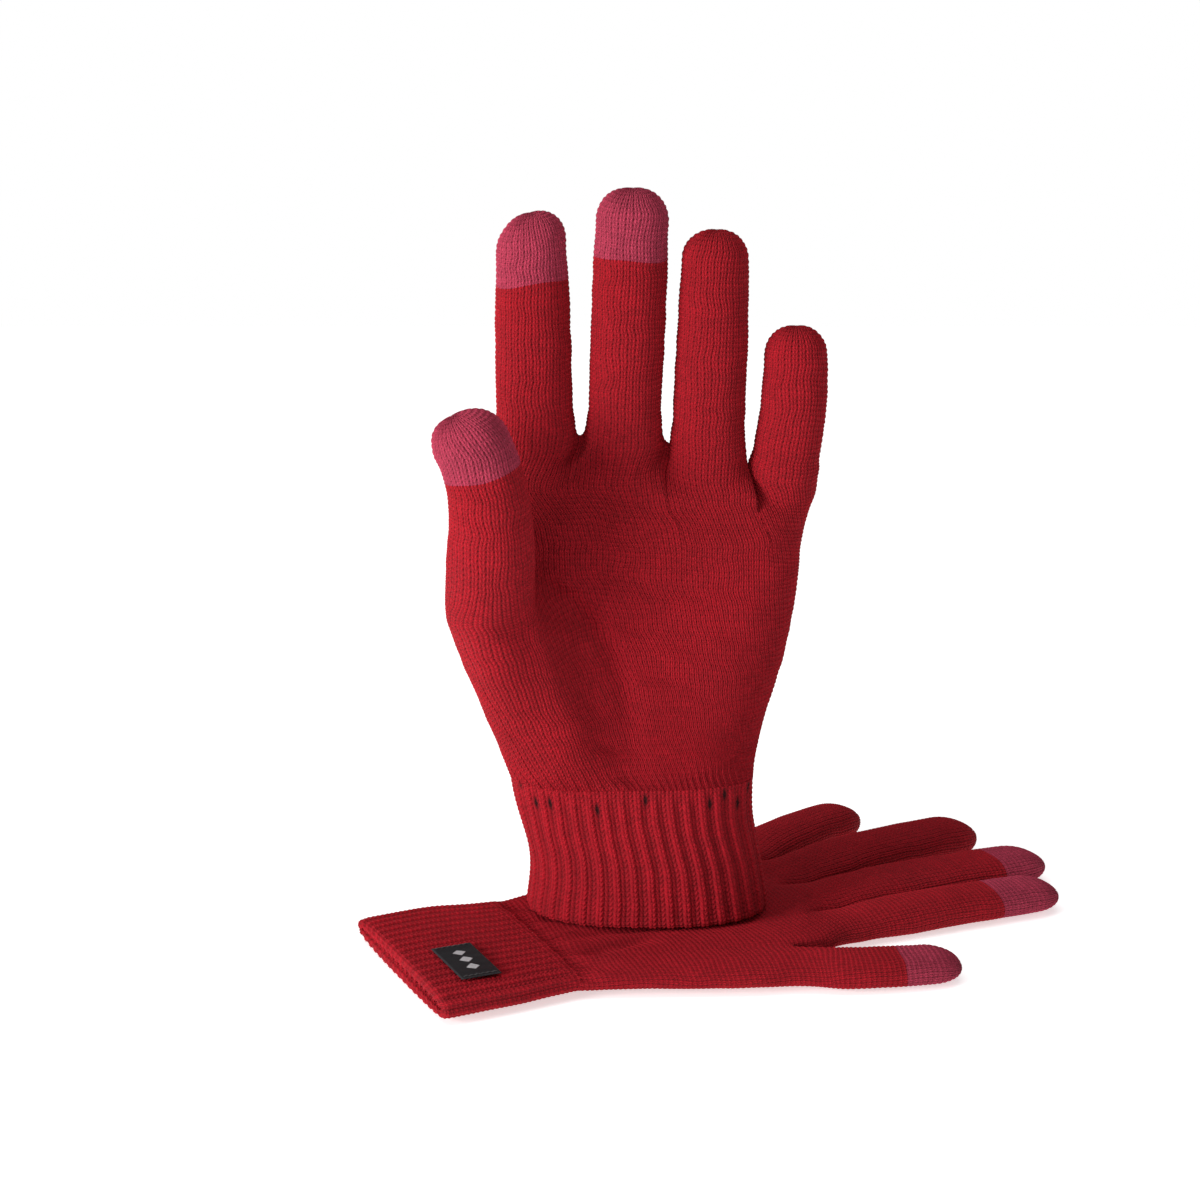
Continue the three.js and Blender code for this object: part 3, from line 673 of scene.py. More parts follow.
def make_knit_tree():
    """Geometry Nodes: slack fabric, then every quad raised into one stitch of plump yarn."""
    tree = bpy.data.node_groups.new("Knit stitches", "GeometryNodeTree")
    interface = tree.interface
    interface.new_socket("Geometry", in_out="INPUT", socket_type="NodeSocketGeometry")
    for label, value in (("Stitch Height", 0.0004), ("Slant", 0.75), ("Rib Height", 0.0009),
                         ("Slack", 0.0004), ("Slack Size", 70.0)):
        socket = interface.new_socket(label, in_out="INPUT", socket_type="NodeSocketFloat")
        socket.default_value = value
    interface.new_socket("Yarn", in_out="INPUT", socket_type="NodeSocketMaterial")
    interface.new_socket("Geometry", in_out="OUTPUT", socket_type="NodeSocketGeometry")
    start = tree.nodes.new("NodeGroupInput")
    end = tree.nodes.new("NodeGroupOutput")
    add = sums(tree)
    work = vectors(tree)

    def named(label, kind):
        node = tree.nodes.new("GeometryNodeInputNamedAttribute")
        node.data_type = kind
        node.inputs["Name"].default_value = label
        return node.outputs["Attribute"]

    def moved(geometry, offset):
        move = tree.nodes.new("GeometryNodeSetPosition")
        tree.links.new(geometry, move.inputs["Geometry"])
        tree.links.new(offset, move.inputs["Offset"])
        return move.outputs[0]

    def push(geometry, distance):
        normal = tree.nodes.new("GeometryNodeInputNormal")
        return moved(geometry, work("SCALE", normal.outputs[0], scale=distance))

    noise = tree.nodes.new("ShaderNodeTexNoise")
    noise.inputs["Detail"].default_value = 1.0
    tree.links.new(named("rest_place", "FLOAT_VECTOR"), noise.inputs["Vector"])
    tree.links.new(start.outputs["Slack Size"], noise.inputs["Scale"])
    wander = work("MULTIPLY_ADD", noise.outputs["Color"], (2.0, 2.0, 2.0), (-1.0, -1.0, -1.0))
    facing = tree.nodes.new("GeometryNodeInputNormal").outputs[0]
    outward = work("DOT_PRODUCT", wander, facing)
    lift = work("SCALE", facing, scale=add("MULTIPLY", outward, -0.75))
    calm = work("ADD", wander, lift)
    slack = add("MULTIPLY", start.outputs["Slack"], named("loose", "FLOAT"))
    fabric = moved(start.outputs["Geometry"], work("SCALE", calm, scale=slack))
    finer = tree.nodes.new("GeometryNodeSubdivideMesh")
    finer.inputs["Level"].default_value = 2
    tree.links.new(fabric, finer.inputs["Mesh"])
    place = tree.nodes.new("ShaderNodeSeparateXYZ")
    tree.links.new(named("stitches", "FLOAT_VECTOR"), place.inputs[0])
    height = stitch_height(add, place.outputs[0], place.outputs[1], start.outputs["Slant"])
    height = add("MULTIPLY", add("SUBTRACT", height, 0.6), start.outputs["Stitch Height"])
    ribbed = named("ribbed", "FLOAT")
    rib = add("SINE", add("MULTIPLY", place.outputs[0], math.pi))
    rib = add("MULTIPLY", rib, add("MULTIPLY", ribbed, start.outputs["Rib Height"]))
    fabric = push(finer.outputs[0], add("ADD", height, rib))
    end_tree(tree, fabric, start.outputs["Yarn"], end)
    return tree


KNIT_TREE = make_knit_tree()


def knitted(glove):
    """Runs the stitch tree on a glove's fabric and returns the finished mesh's arrays, in metres."""
    points, quads, chart, piece = glove_fabric(glove)
    points = points / 1000.0
    turn = np.array(glove["place"].to_3x3())
    placed = points @ turn.T + np.array(glove["place"].translation)
    mesh = bpy.data.meshes.new("fabric")
    mesh.from_pydata(placed.tolist(), [], quads.tolist())
    chart_layer = mesh.uv_layers.new(name="stitches")
    chart_layer.data.foreach_set("uv", chart.reshape(-1))
    numbers = mesh.attributes.new("piece", "INT", "FACE")
    numbers.data.foreach_set("value", piece)
    ribbed = np.zeros(len(points), np.float32)
    in_cuff = quads[piece == CUFF]
    z = points[:, 2] * 1000
    cuff_points = np.unique(in_cuff)
    top_fade = ease(z, glove["cuff"] + 0.9, glove["cuff"] - 6.0)
    hem_fade = 0.35 + 0.65 * ease(z, glove["hem"], glove["hem"] + 3.5)
    ribbed += 0.5 * ease(z, glove["cuff"] + 9, glove["cuff"] + 1)
    ribbed[cuff_points] = (top_fade * hem_fade)[cuff_points]
    mesh.attributes.new("ribbed", "FLOAT", "POINT").data.foreach_set("value", ribbed)
    loose = np.ones(len(points), np.float32)
    loose[np.unique(in_cuff)] = 0.25
    mesh.attributes.new("loose", "FLOAT", "POINT").data.foreach_set("value", loose)
    rest = mesh.attributes.new("rest_place", "FLOAT_VECTOR", "POINT")
    stretched = points * np.array([1.0, 1.0, glove["wrinkle_stretch"]])
    rest.data.foreach_set("vector", stretched.astype(np.float32).reshape(-1))
    mesh.shade_smooth()
    whole = run_tree(mesh, KNIT_TREE, glove["stitching"])
    made = {
        "points": np.empty(len(whole.vertices) * 3, np.float32),
        "corners": np.empty(len(whole.loops), np.int32),
        "chart": np.empty(len(whole.loops) * 2, np.float32),
        "piece": np.empty(len(whole.polygons), np.int32),
    }
    whole.vertices.foreach_get("co", made["points"])
    whole.loops.foreach_get("vertex_index", made["corners"])
    whole.uv_layers["stitches"].data.foreach_get("uv", made["chart"])
    whole.attributes["piece"].data.foreach_get("value", made["piece"])
    made["points"] = made["points"].reshape(-1, 3)
    made["corners"] = made["corners"].reshape(-1, 4)
    made["chart"] = made["chart"].reshape(-1, 4, 2)
    bpy.data.meshes.remove(whole)
    return made


def cut_piece(made, number, name, material):
    """One piece of the finished fabric as an object of its own."""
    mine = made["piece"] == number
    corners = made["corners"][mine]
    used, local = np.unique(corners, return_inverse=True)
    local = local.reshape(-1).astype(np.int32)
    mesh = bpy.data.meshes.new(name)
    mesh.vertices.add(len(used))
    mesh.vertices.foreach_set("co", made["points"][used].reshape(-1))
    mesh.loops.add(len(local))
    mesh.loops.foreach_set("vertex_index", local)
    mesh.polygons.add(len(corners))
    mesh.polygons.foreach_set("loop_start", np.arange(0, len(local), 4, dtype=np.int32))
    mesh.update(calc_edges=True)
    mesh.uv_layers.new(name="stitches").data.foreach_set("uv", made["chart"][mine].reshape(-1))
    mesh.shade_smooth()
    mesh.materials.append(material)
    piece = bpy.data.objects.new(name, mesh)
    bpy.context.scene.collection.objects.link(piece)
    return piece


# ------------------------------------------------------------------ the pink touch yarn
# The caps of the thumb, index and middle finger are knitted on in a pink conductive yarn, so that
# a touch screen feels them. They continue the red tubes without a seam.
# The second colour is painted shade for the furrows and holes. The third is a painted sheen on loose fibres,
# and it is also the sheen tint.
PINK = (0.410, 0.030, 0.068)
PINK_FURROW_SHADE = (0.095, 0.004, 0.010)
PINK_SHEEN = (0.55, 0.085, 0.145)
PINK_KNIT = yarn("Pink touch knit", PINK, PINK_FURROW_SHADE, PINK_SHEEN)


# ------------------------------------------------------------------ the standing glove
# It stands on the open end of its cuff with its palm to the front, filled out as on a hand. The
# thumb comes forward, its root makes a mound on the palm, and a fold runs down from its crotch.
def joint_place(name):
    """Where a joint's hinge line is, and the direction of that line."""
    joint = next(j for j in frame["joints"] if j["name"] == name)
    return Vector(joint["pos_m"]), Vector(joint["axis"]).normalized()


def finger(x, z, base, end, depth, length, lean, cap, split, bow=0.0, tilt=0.0):
    """A worn finger: a tapering tube that leans a little towards the little finger."""
    slope = math.tan(math.radians(lean))
    top = (x + length * slope, 0.6, z + length)
    middle = (x + 0.5 * length * slope + bow, -0.4, z + 0.5 * length)
    return {
        "tilt": (tilt, 0.0, 0.0),
        "line": [(x, 0.0, z), middle, top],
        "shares": (0, 0.12, 0.55, 1), "halves": (base / 2, base / 2 - 0.7, (base + end) / 4, end / 2),
        "depths": (depth / 2, depth / 2, depth / 2 - 0.3, depth / 2 - 0.9), "square": 2.25,
        "dome": end * 0.47, "settles": 9.0, "dip": 1.5,
        "split": split, "cap_from": length - cap if cap else 999.0,
    }


FINGER_LEVEL = 154.5


def standing_shape(points):
    """The mound at the root of the thumb and the fold that runs down from its crotch."""
    x, y, z = points.T
    front = ease(-y, 2, 9) * ease(y, -32, -20) * (z < 130)
    line = np.array([
        (-34.5, 119.0), (-21.5, 108.6), (-13.0, 96.3), (-8.0, 83.6), (-5.0, 62.4), (-4.0, 50.0),
    ])
    line_x = np.interp(z, line[::-1, 1], line[::-1, 0])
    depth = np.interp(z, [48, 62, 80, 100, 113, 120], [0, 0.6, 1.5, 2.2, 2.0, 0])
    rise = np.interp(z, [48, 62, 80, 100, 113, 120], [0, 1.8, 4.4, 6.2, 4.6, 0])
    groove = depth * np.exp(-((x - line_x) / 3.6) ** 2)
    mound = rise * np.exp(-((x - line_x + 14) / 10.0) ** 2)
    y = y + front * (groove - mound)
    hollow = 2.0 * np.exp(-((x - 4) / 20) ** 2 - ((z - 108) / 24) ** 2) * ease(-y, 2, 9)
    heel = 1.6 * np.exp(-((x - 26) / 16) ** 2 - ((z - 84) / 24) ** 2) * ease(-y, 2, 9)
    return np.column_stack([x, y + hollow - heel, z])


STANDING = {
    "place": Matrix.Identity(4),
    "middle": 0.0, "lip": 2.6, "hem": 8.4, "cuff": 50.0, "lining_rounds": 9,
    "sections": [
        (8.3, 0.0, 37.0, 23.0, 2.3), (25.0, -0.8, 35.0, 20.3, 2.3), (42.0, -4.2, 35.8, 17.3, 2.3),
        (64.0, -5.2, 39.4, 15.5, 2.4), (91.0, -3.1, 44.5, 14.5, 2.5), (118.0, -0.9, 46.4, 13.4, 2.7),
        (134.0, 0.2, 47.2, 12.4, 3.0), (143.0, 1.2, 47.7, 11.8, 3.4), (154.0, 2.3, 48.4, 11.5, 3.6),
    ],
    "saddle_wales": (4, 4), "wrist_shares": (-0.05, 0.24), "spread": 0.86, "heel": 36,
    "crotch_rise": 3.0, "crotch_reach": 0.7, "web_reach": 0.36,
    "thumb": {
        "outline": [
            (-45.0, 3.5, 108.0), (-53.0, -5.5, 106.5), (-59.2, -16.0, 105.5), (-59.6, -26.0, 105),
            (-54.0, -34.0, 105), (-44.5, -35.6, 105.5), (-36.2, -31.0, 107), (-33.2, -22.5, 109),
            (-34.0, -14.0, 112.0),
        ],
        "saddle_shift": (-1.5, 0.0, 1.5), "girth_start": 26 / 34, "root_side": (-60.0, -21.0, 105.0),
        "line": [(-46.6, -20.8, 107), (-46.4, -26.5, 118), (-46.0, -30.2, 130), (-46.3, -32.6, 143),
                 (-49.4, -33.7, 156), (-56.0, -34.2, 168.3)],
        "shares": (0, 0.3, 0.65, 1), "halves": (13.4, 12.7, 11.2, 10.9), "depths": (12.4, 11.8, 10.9, 10.2),
        "square": 2.2, "dome": 9.8, "settles": 16.0, "tilt": (0.06, 0.0, 0.0), "cap_from": 48.0,
    },
    "fingers": [
        finger(-33.7, FINGER_LEVEL, 23.9, 20.0, 20, 66.4, -0.9, 18.5, 25, tilt=-0.2),
        finger(-7.6, FINGER_LEVEL + 0.5, 22.6, 20.9, 20, 73.1, 2.1, 18.5, 29.5),
        finger(17.2, FINGER_LEVEL - 3.4, 22.6, 18.9, 19, 65.0, 1.8, 0, 26),
        finger(39.4, FINGER_LEVEL - 11.8, 21.0, 17.6, 18, 45.3, 4.4, 0, 15, bow=1.3),
    ],
    "soft_reach": (10, 10, 10, 13), "soft_rounds": 10, "shape": standing_shape,
    "wrinkle_stretch": 2.2,
    "stitching": {
        "Stitch Height": 0.0004, "Slant": 0.75, "Rib Height": 0.00043,
        "Slack": 0.0016, "Slack Size": 60.0, "Yarn": RED_KNIT,
    },
}
standing = knitted(STANDING)

cuff = cut_piece(standing, CUFF, "standing_ribbed_cuff", RED_RIB)
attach(cuff, "standing_glove")
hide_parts("standing_cuff_hem", "standing_cuff_rib")
for number, name in ((PALM_LOW_FRONT, "standing_palm_front"), (PALM_LOW_BACK, "standing_palm_back"),
                     (PALM_TOP, "standing_palm_top")):
    part = cut_piece(standing, number, name, RED_KNIT)
    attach(part, "standing_glove")
    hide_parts("standing_palm")

FINGER_NAMES = ("index", "middle", "ring", "little")
for number, name in enumerate(FINGER_NAMES):
    has_cap = name in ("index", "middle")
    hinge, _ = joint_place(f"standing_{name}_bend")
    curl, _ = joint_place(f"standing_{name}_curl")
    root, far = f"standing_{name}_root", f"standing_{name}_far"
    part = cut_piece(standing, FINGER_BASE + number, f"standing_{name}_base_knit", RED_KNIT)
    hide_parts(f"standing_{name}_base")
    limb = STANDING["fingers"][number]
    bend_from = hinge.copy()
    bend_from.z = max(hinge.z, (limb["line"][0][2] + 3.5) / 1000)
    parting = (limb["line"][0][2] + limb["split"]) / 1000
    bend_to = bend_from.copy()
    bend_to.z = min(bend_from.z + 0.014, parting - 0.002)
    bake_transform(part)
    part = cut_piece(standing, FINGER_END + number, f"standing_{name}_end_knit", RED_KNIT)
    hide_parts(f"standing_{name}_end")
    curl_from = curl.copy()
    curl_from.z = max(curl.z - 0.0075, parting + 0.0016)
    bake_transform(part)
    if has_cap:
        part = cut_piece(standing, FINGER_CAP + number, f"standing_{name}_cap", PINK_KNIT)
        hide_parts(f"standing_{name}_tip")
        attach(part, far)

part = cut_piece(standing, THUMB, "standing_thumb_knit", RED_KNIT)
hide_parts("standing_thumb")
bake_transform(part)
part = cut_piece(standing, THUMB_CAP, "standing_thumb_cap", PINK_KNIT)
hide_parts("standing_thumb_tip")
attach(part, "standing_thumb_finger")


# ------------------------------------------------------------------ the lying glove
# The other glove of the pair lies flat, palm down, with the standing one on it. Empty fingers keep
# a soft, flattened roundness, touch each other at the sides, and spread a little at their ends.
def flat_finger(x, z, base, end, length, lean, cap, thick):
    """An empty finger: an almost flat tube that lies on the table."""
    slope = math.tan(math.radians(lean))
    return {
        "line": [(x, 4.2, z), (x + 0.5 * length * slope, thick / 2 + 0.5, z + 0.5 * length),
                 (x + length * slope, thick / 2 + 0.3, z + length)],
        "shares": (0, 0.25, 0.6, 1), "halves": (base / 2, base / 2 + 0.3, (base + end) / 4, end / 2),
        "depths": (3.75, thick / 2, thick / 2, thick / 2 - 0.2), "square": 2.4,
        "dome": end * 0.5, "settles": 9.0, "dip": 0.5,
        "split": 999.0, "cap_from": length - cap if cap else 999.0,
    }


def lying_shape(points):
    """Shallow dents between the wrist and the fingers, where the empty glove has settled."""
    x, y, z = points.T
    top = ease(y, 4, 7)
    dent = 0.9 * np.exp(-((x + 14) / 9) ** 2 - ((z - 118) / 26) ** 2)
    dent += 0.8 * np.exp(-((x - 18) / 8) ** 2 - ((z - 122) / 20) ** 2)
    gathers = np.exp(-((z - 50) / 7) ** 2) * np.sin(0.62 * x + 0.25 * z + 1.4 * np.sin(x / 9))
    dent += 0.55 * gathers + 0.45 * np.exp(-((z - 46.5) / 2.5) ** 2)
    for start_x, slope, from_z, to_z, depth in (
        (-19.0, 0.10, 46, 84, 1.3), (-4.0, -0.16, 50, 96, 1.1),
        (12.0, 0.14, 47, 90, 1.3), (26.0, 0.02, 52, 118, 1.0),
    ):
        along = ease(z, from_z, from_z + 12) * ease(z, to_z, to_z - 18)
        dent += depth * along * np.exp(-((x - start_x - slope * (z - from_z)) / 2.8) ** 2)
    return np.column_stack([x, y - top * dent, z])


LYING_LEVEL = 141.0
lying_turn = math.radians(24)
lying_place = Matrix((
    (-math.sin(lying_turn), 0, math.cos(lying_turn), -0.074),
    (math.cos(lying_turn), 0, math.sin(lying_turn), -0.043),
    (0, 1, 0, 0),
    (0, 0, 0, 1),
))
LYING = {
    "place": lying_place,
    "middle": 4.4, "lip": 3.5, "hem": 0.1, "cuff": 44.0, "lining_rounds": 9,
    "sections": [
        (0.0, 0.0, 37.6, 3.9, 3.4), (22.0, 1.2, 37.8, 3.8, 3.4), (44.0, 0.4, 35.2, 3.5, 3.4),
        (78.0, 2.0, 39.0, 3.5, 3.4), (110.0, 5.2, 42.4, 3.5, 3.4), (141.0, 10.0, 43.2, 3.6, 3.6),
    ],
    "saddle_wales": (3, 3), "wrist_shares": (-0.13, 0.13), "spread": 1.0, "heel": 0,
    "crotch_rise": 1.0, "crotch_reach": 0.6, "web_reach": 0.5,
    "thumb": {
        "outline": [
            (-36.0, 6.6, 111.0), (-44.0, 7.4, 109.5), (-54.0, 7.2, 107), (-59.6, 4.4, 106),
            (-54.0, 1.0, 107), (-44.0, 0.8, 109.5), (-36.0, 1.2, 111.0),
        ],
        "saddle_shift": (0.4, 0.0, 1.0), "girth_start": 19 / 34, "root_side": (-59.6, 4.4, 106.0),
        "line": [(-48.4, 4.1, 108.5), (-54.6, 4.4, 122), (-59.0, 4.4, 136), (-63.2, 4.2, 153.2)],
        "shares": (0, 0.3, 0.65, 1), "halves": (11.6, 11.0, 10.6, 10.1), "depths": (3.6, 4.1, 4.15, 3.9),
        "square": 2.5, "dome": 9.5, "settles": 12.0, "cap_from": 30.0,
    },
    "fingers": [
        flat_finger(-22.8, LYING_LEVEL - 2, 20.8, 20.2, 71.4, -1.6, 22, 9.0),
        flat_finger(-0.7, LYING_LEVEL, 22.4, 21.8, 79.4, 0.0, 18, 9.6),
        flat_finger(22.2, LYING_LEVEL - 1, 22.4, 21.4, 73.0, 6.5, 0, 11.2),
        flat_finger(43.6, LYING_LEVEL - 5, 19.4, 18.6, 49.0, 19.5, 0, 11.0),
    ],
    "soft_reach": (8, 8, 8, 10), "soft_rounds": 6, "shape": lying_shape,
    "wrinkle_stretch": 1.3,
    "stitching": {
        "Stitch Height": 0.00038, "Slant": 0.75, "Rib Height": 0.0005,
        "Slack": 0.0012, "Slack Size": 60.0, "Yarn": RED_KNIT,
    },
}
lying = knitted(LYING)

cuff = cut_piece(lying, CUFF, "lying_ribbed_cuff", RED_RIB_LYING)
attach(cuff, "lying_glove")
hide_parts("lying_cuff_hem", "lying_cuff_rib")
for number, name in ((PALM_LOW_FRONT, "lying_palm_under"), (PALM_LOW_BACK, "lying_palm_upper"),
                     (PALM_TOP, "lying_palm_far")):
    part = cut_piece(lying, number, name, RED_KNIT)
    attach(part, "lying_glove")
    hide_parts("lying_palm")

for number, name in enumerate(FINGER_NAMES):
    has_cap = name in ("index", "middle")
    hinge, line = joint_place(f"lying_{name}_bend")
    onward = Vector((-line.y, line.x, 0.0))
    if onward.x < 0:
        onward.negate()
    part = cut_piece(lying, FINGER_BASE + number, f"lying_{name}_knit", RED_KNIT)
    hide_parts(f"lying_{name}")
    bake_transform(part)
    if has_cap:
        part = cut_piece(lying, FINGER_CAP + number, f"lying_{name}_cap", PINK_KNIT)
        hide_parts(f"lying_{name}_tip")
        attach(part, f"lying_{name}_finger")

hinge, _ = joint_place("lying_thumb_bend")
part = cut_piece(lying, THUMB, "lying_thumb_knit", RED_KNIT)
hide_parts("lying_thumb")
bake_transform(part)
part = cut_piece(lying, THUMB_CAP, "lying_thumb_cap", PINK_KNIT)
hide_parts("lying_thumb_tip")
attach(part, "lying_thumb_finger")


# ------------------------------------------------------------------ the woven label
# A black satin patch, woven in one piece and sewn over the ribs of the lying cuff at both short
# ends. Its marking is a plain row of three small pale lozenges.
LABEL_LONG = 25.5
LABEL_WIDE = 12.5
LABEL_RIM = 0.55
LOZENGE_APART = 5.6
LOZENGE_HALF = 2.1
LOZENGE_ROW_HALF = 8.2
label_low, label_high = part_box("label")
label_middle = (label_low + label_high) / 2
steps_long, steps_wide = 64, 32
label_points, label_quads, label_chart = [], [], []
for layer in (0, 1):
    for j in range(steps_wide + 1):
        for i in range(steps_long + 1):
            u, v = i / steps_long - 0.5, j / steps_wide - 0.5
            edge = min(0.5 - abs(u), (0.5 - abs(v)) * LABEL_WIDE / LABEL_LONG) * LABEL_LONG
            roll = math.sqrt(max(0.0, 1 - (1 - min(edge / 0.45, 1.0)) ** 2))
            crown = 0.35 * math.cos(math.pi * u) * math.cos(math.pi * v)
            ripple = 0.05 * math.sin(2 * math.pi * u * LABEL_LONG / 4.6) * (1 - abs(2 * v) ** 3)
            height = crown + ripple + (0.25 * roll if layer == 0 else -0.25 * roll)
            place = lying_place.to_3x3() @ Vector((u * LABEL_LONG, 0.0, v * LABEL_WIDE))
            label_points.append(label_middle + place / 1000 + Vector((0, 0, (height - 0.15) / 1000)))
row = steps_long + 1
for layer in (0, 1):
    base = layer * row * (steps_wide + 1)
    for j in range(steps_wide):
        for i in range(steps_long):
            a = base + j * row + i
            quad = (a, a + 1, a + row + 1, a + row) if layer else (a, a + row, a + row + 1, a + 1)
            label_quads.append(quad)
            corners = {a: (i, j), a + 1: (i + 1, j), a + row + 1: (i + 1, j + 1), a + row: (i, j + 1)}
            for corner in quad:
                ci, cj = corners[corner]
                label_chart.append((ci / steps_long, cj / steps_wide))
label_mesh = bpy.data.meshes.new("label_patch")
label_mesh.from_pydata(label_points, [], label_quads)
label_mesh.uv_layers.new(name="weave").data.foreach_set("uv", np.array(label_chart).reshape(-1))
builder = bmesh.new()
builder.from_mesh(label_mesh)
bmesh.ops.remove_doubles(builder, verts=builder.verts, dist=0.00002)
bmesh.ops.recalc_face_normals(builder, faces=builder.faces)
builder.to_mesh(label_mesh)
builder.free()
label_mesh.shade_smooth()
label = bpy.data.objects.new("label_patch", label_mesh)
bpy.context.scene.collection.objects.link(label)

satin = bpy.data.materials.new("Black satin weave")
satin.use_nodes = True
tree = satin.node_tree
satin_shader = tree.nodes["Principled BSDF"]
add = sums(tree)
weave_map = tree.nodes.new("ShaderNodeUVMap")
weave_map.uv_map = "weave"
weave_place = tree.nodes.new("ShaderNodeSeparateXYZ")
tree.links.new(weave_map.outputs[0], weave_place.inputs[0])
long_mm = add("MULTIPLY", weave_place.outputs[0], LABEL_LONG)
wide_mm = add("MULTIPLY", weave_place.outputs[1], LABEL_WIDE)
weft = add("SINE", add("MULTIPLY", wide_mm, 2 * math.pi / 0.28))
warp = add("SINE", add("MULTIPLY", add("MULTIPLY_ADD", wide_mm, 0.5, long_mm), 2 * math.pi / 0.34))
weave = add("MULTIPLY_ADD", add("MULTIPLY", weft, warp), 0.5, 0.5)
cell = add("PINGPONG", add("SUBTRACT", long_mm, LABEL_LONG / 2 - 2 * LOZENGE_APART), LOZENGE_APART / 2)
off_long = add("ABSOLUTE", add("SUBTRACT", long_mm, LABEL_LONG / 2))
off_wide = add("ABSOLUTE", add("SUBTRACT", wide_mm, LABEL_WIDE / 2))
inside = add("LESS_THAN", add("ADD", cell, off_wide), LOZENGE_HALF)
marked = add("MULTIPLY", inside, add("LESS_THAN", off_long, LOZENGE_ROW_HALF))
rim_long = add("GREATER_THAN", off_long, LABEL_LONG / 2 - LABEL_RIM)
rim_wide = add("GREATER_THAN", off_wide, LABEL_WIDE / 2 - LABEL_RIM)
rim = add("MAXIMUM", rim_long, rim_wide)
cloth = mixed(tree, weave, (0.003, 0.003, 0.004), (0.014, 0.014, 0.017))
cloth = mixed(tree, add("MULTIPLY", rim, 0.7), cloth, (0.030, 0.028, 0.031))
pale = add("MULTIPLY", marked, add("MULTIPLY_ADD", weave, 0.4, 0.55))
cloth = mixed(tree, pale, cloth, (0.62, 0.62, 0.64))
tree.links.new(cloth, satin_shader.inputs["Base Color"])
satin_shader.inputs["Roughness"].default_value = 0.6
satin_shader.inputs["Specular IOR Level"].default_value = 0.22
weave_bump = tree.nodes.new("ShaderNodeBump")
weave_bump.inputs["Strength"].default_value = 0.6
weave_bump.inputs["Distance"].default_value = 0.0001
tree.links.new(weave, weave_bump.inputs["Height"])
tree.links.new(weave_bump.outputs[0], satin_shader.inputs["Normal"])
label_mesh.materials.append(satin)
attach(label, "lying_glove")
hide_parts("label")


# ------------------------------------------------------------------ the label's sewing
# Two short rows of machine stitches in black thread hold the label, one at each of its ends. Every
# stitch is a plump twist of thread that dips into the cloth at both of its own ends.
def make_sewing_tree():
    """Geometry Nodes: a straight row of stitches between two points, one small arch for each."""
    tree = bpy.data.node_groups.new("Sewn row", "GeometryNodeTree")
    tree.interface.new_socket("Geometry", in_out="INPUT", socket_type="NodeSocketGeometry")
    for label_text, kind, value in (
        ("From", "NodeSocketVector", None), ("Step", "NodeSocketVector", None),
        ("Stitches", "NodeSocketInt", 6), ("Thread", "NodeSocketFloat", 0.00022),
    ):
        socket = tree.interface.new_socket(label_text, in_out="INPUT", socket_type=kind)
        if value is not None:
            socket.default_value = value
    tree.interface.new_socket("Thread Material", in_out="INPUT", socket_type="NodeSocketMaterial")
    tree.interface.new_socket("Geometry", in_out="OUTPUT", socket_type="NodeSocketGeometry")
    start = tree.nodes.new("NodeGroupInput")
    end = tree.nodes.new("NodeGroupOutput")
    row = tree.nodes.new("GeometryNodeMeshLine")
    tree.links.new(start.outputs["Stitches"], row.inputs["Count"])
    tree.links.new(start.outputs["From"], row.inputs["Start Location"])
    tree.links.new(start.outputs["Step"], row.inputs["Offset"])
    work = vectors(tree)
    half = work("SCALE", start.outputs["Step"], scale=0.44)
    back = work("SCALE", half, scale=-1.0)
    arch = tree.nodes.new("GeometryNodeCurveQuadraticBezier")
    arch.inputs["Resolution"].default_value = 6
    arch.inputs["Middle"].default_value = (0.0, 0.0, 0.00055)
    tree.links.new(back, arch.inputs["Start"])
    tree.links.new(half, arch.inputs["End"])
    section = tree.nodes.new("GeometryNodeCurvePrimitiveCircle")
    section.inputs["Resolution"].default_value = 7
    tree.links.new(start.outputs["Thread"], section.inputs["Radius"])
    body = tree.nodes.new("GeometryNodeCurveToMesh")
    body.inputs["Fill Caps"].default_value = True
    tree.links.new(arch.outputs[0], body.inputs["Curve"])
    tree.links.new(section.outputs[0], body.inputs["Profile Curve"])
    spread = tree.nodes.new("GeometryNodeInstanceOnPoints")
    tree.links.new(row.outputs[0], spread.inputs["Points"])
    tree.links.new(body.outputs[0], spread.inputs["Instance"])
    end_tree(tree, spread.outputs[0], start.outputs["Thread Material"], end)
    return tree


def plain_thread(name, colour, ply_sheen_colour, turns_per_metre):
    """Twisted thread: fine diagonal plies, from its place in the model, and a painted sheen that lightens
    the crests of the plies where the fibre noise is high.
    """
    material = bpy.data.materials.new(name)
    material.use_nodes = True
    tree = material.node_tree
    shader = tree.nodes["Principled BSDF"]
    add = sums(tree)
    here = tree.nodes.new("ShaderNodeTexCoord")
    split = tree.nodes.new("ShaderNodeSeparateXYZ")
    tree.links.new(here.outputs["Object"], split.inputs[0])
    level = add("ADD", split.outputs[0], split.outputs[1])
    along = add("ADD", level, add("MULTIPLY", split.outputs[2], 1.7))
    ply = add("MULTIPLY_ADD", add("SINE", add("MULTIPLY", along, turns_per_metre * 2 * math.pi)), 0.5, 0.5)
    fibres = tree.nodes.new("ShaderNodeGroup")
    fibres.node_tree = FIBRES
    tree.links.new(here.outputs["Object"], fibres.inputs["Place"])
    # Painted sheen: the colour turns lighter where a ply's crest meets high fibre noise.
    tree.links.new(mixed(tree, add("MULTIPLY", ply, fibres.outputs["Fibre"]), colour, ply_sheen_colour),
                   shader.inputs["Base Color"])
    shader.inputs["Roughness"].default_value = 0.6
    shader.inputs["Sheen Weight"].default_value = 0.2
    bump = tree.nodes.new("ShaderNodeBump")
    bump.inputs["Strength"].default_value = 0.5
    bump.inputs["Distance"].default_value = 0.0001
    tree.links.new(ply, bump.inputs["Height"])
    tree.links.new(bump.outputs[0], shader.inputs["Normal"])
    return material


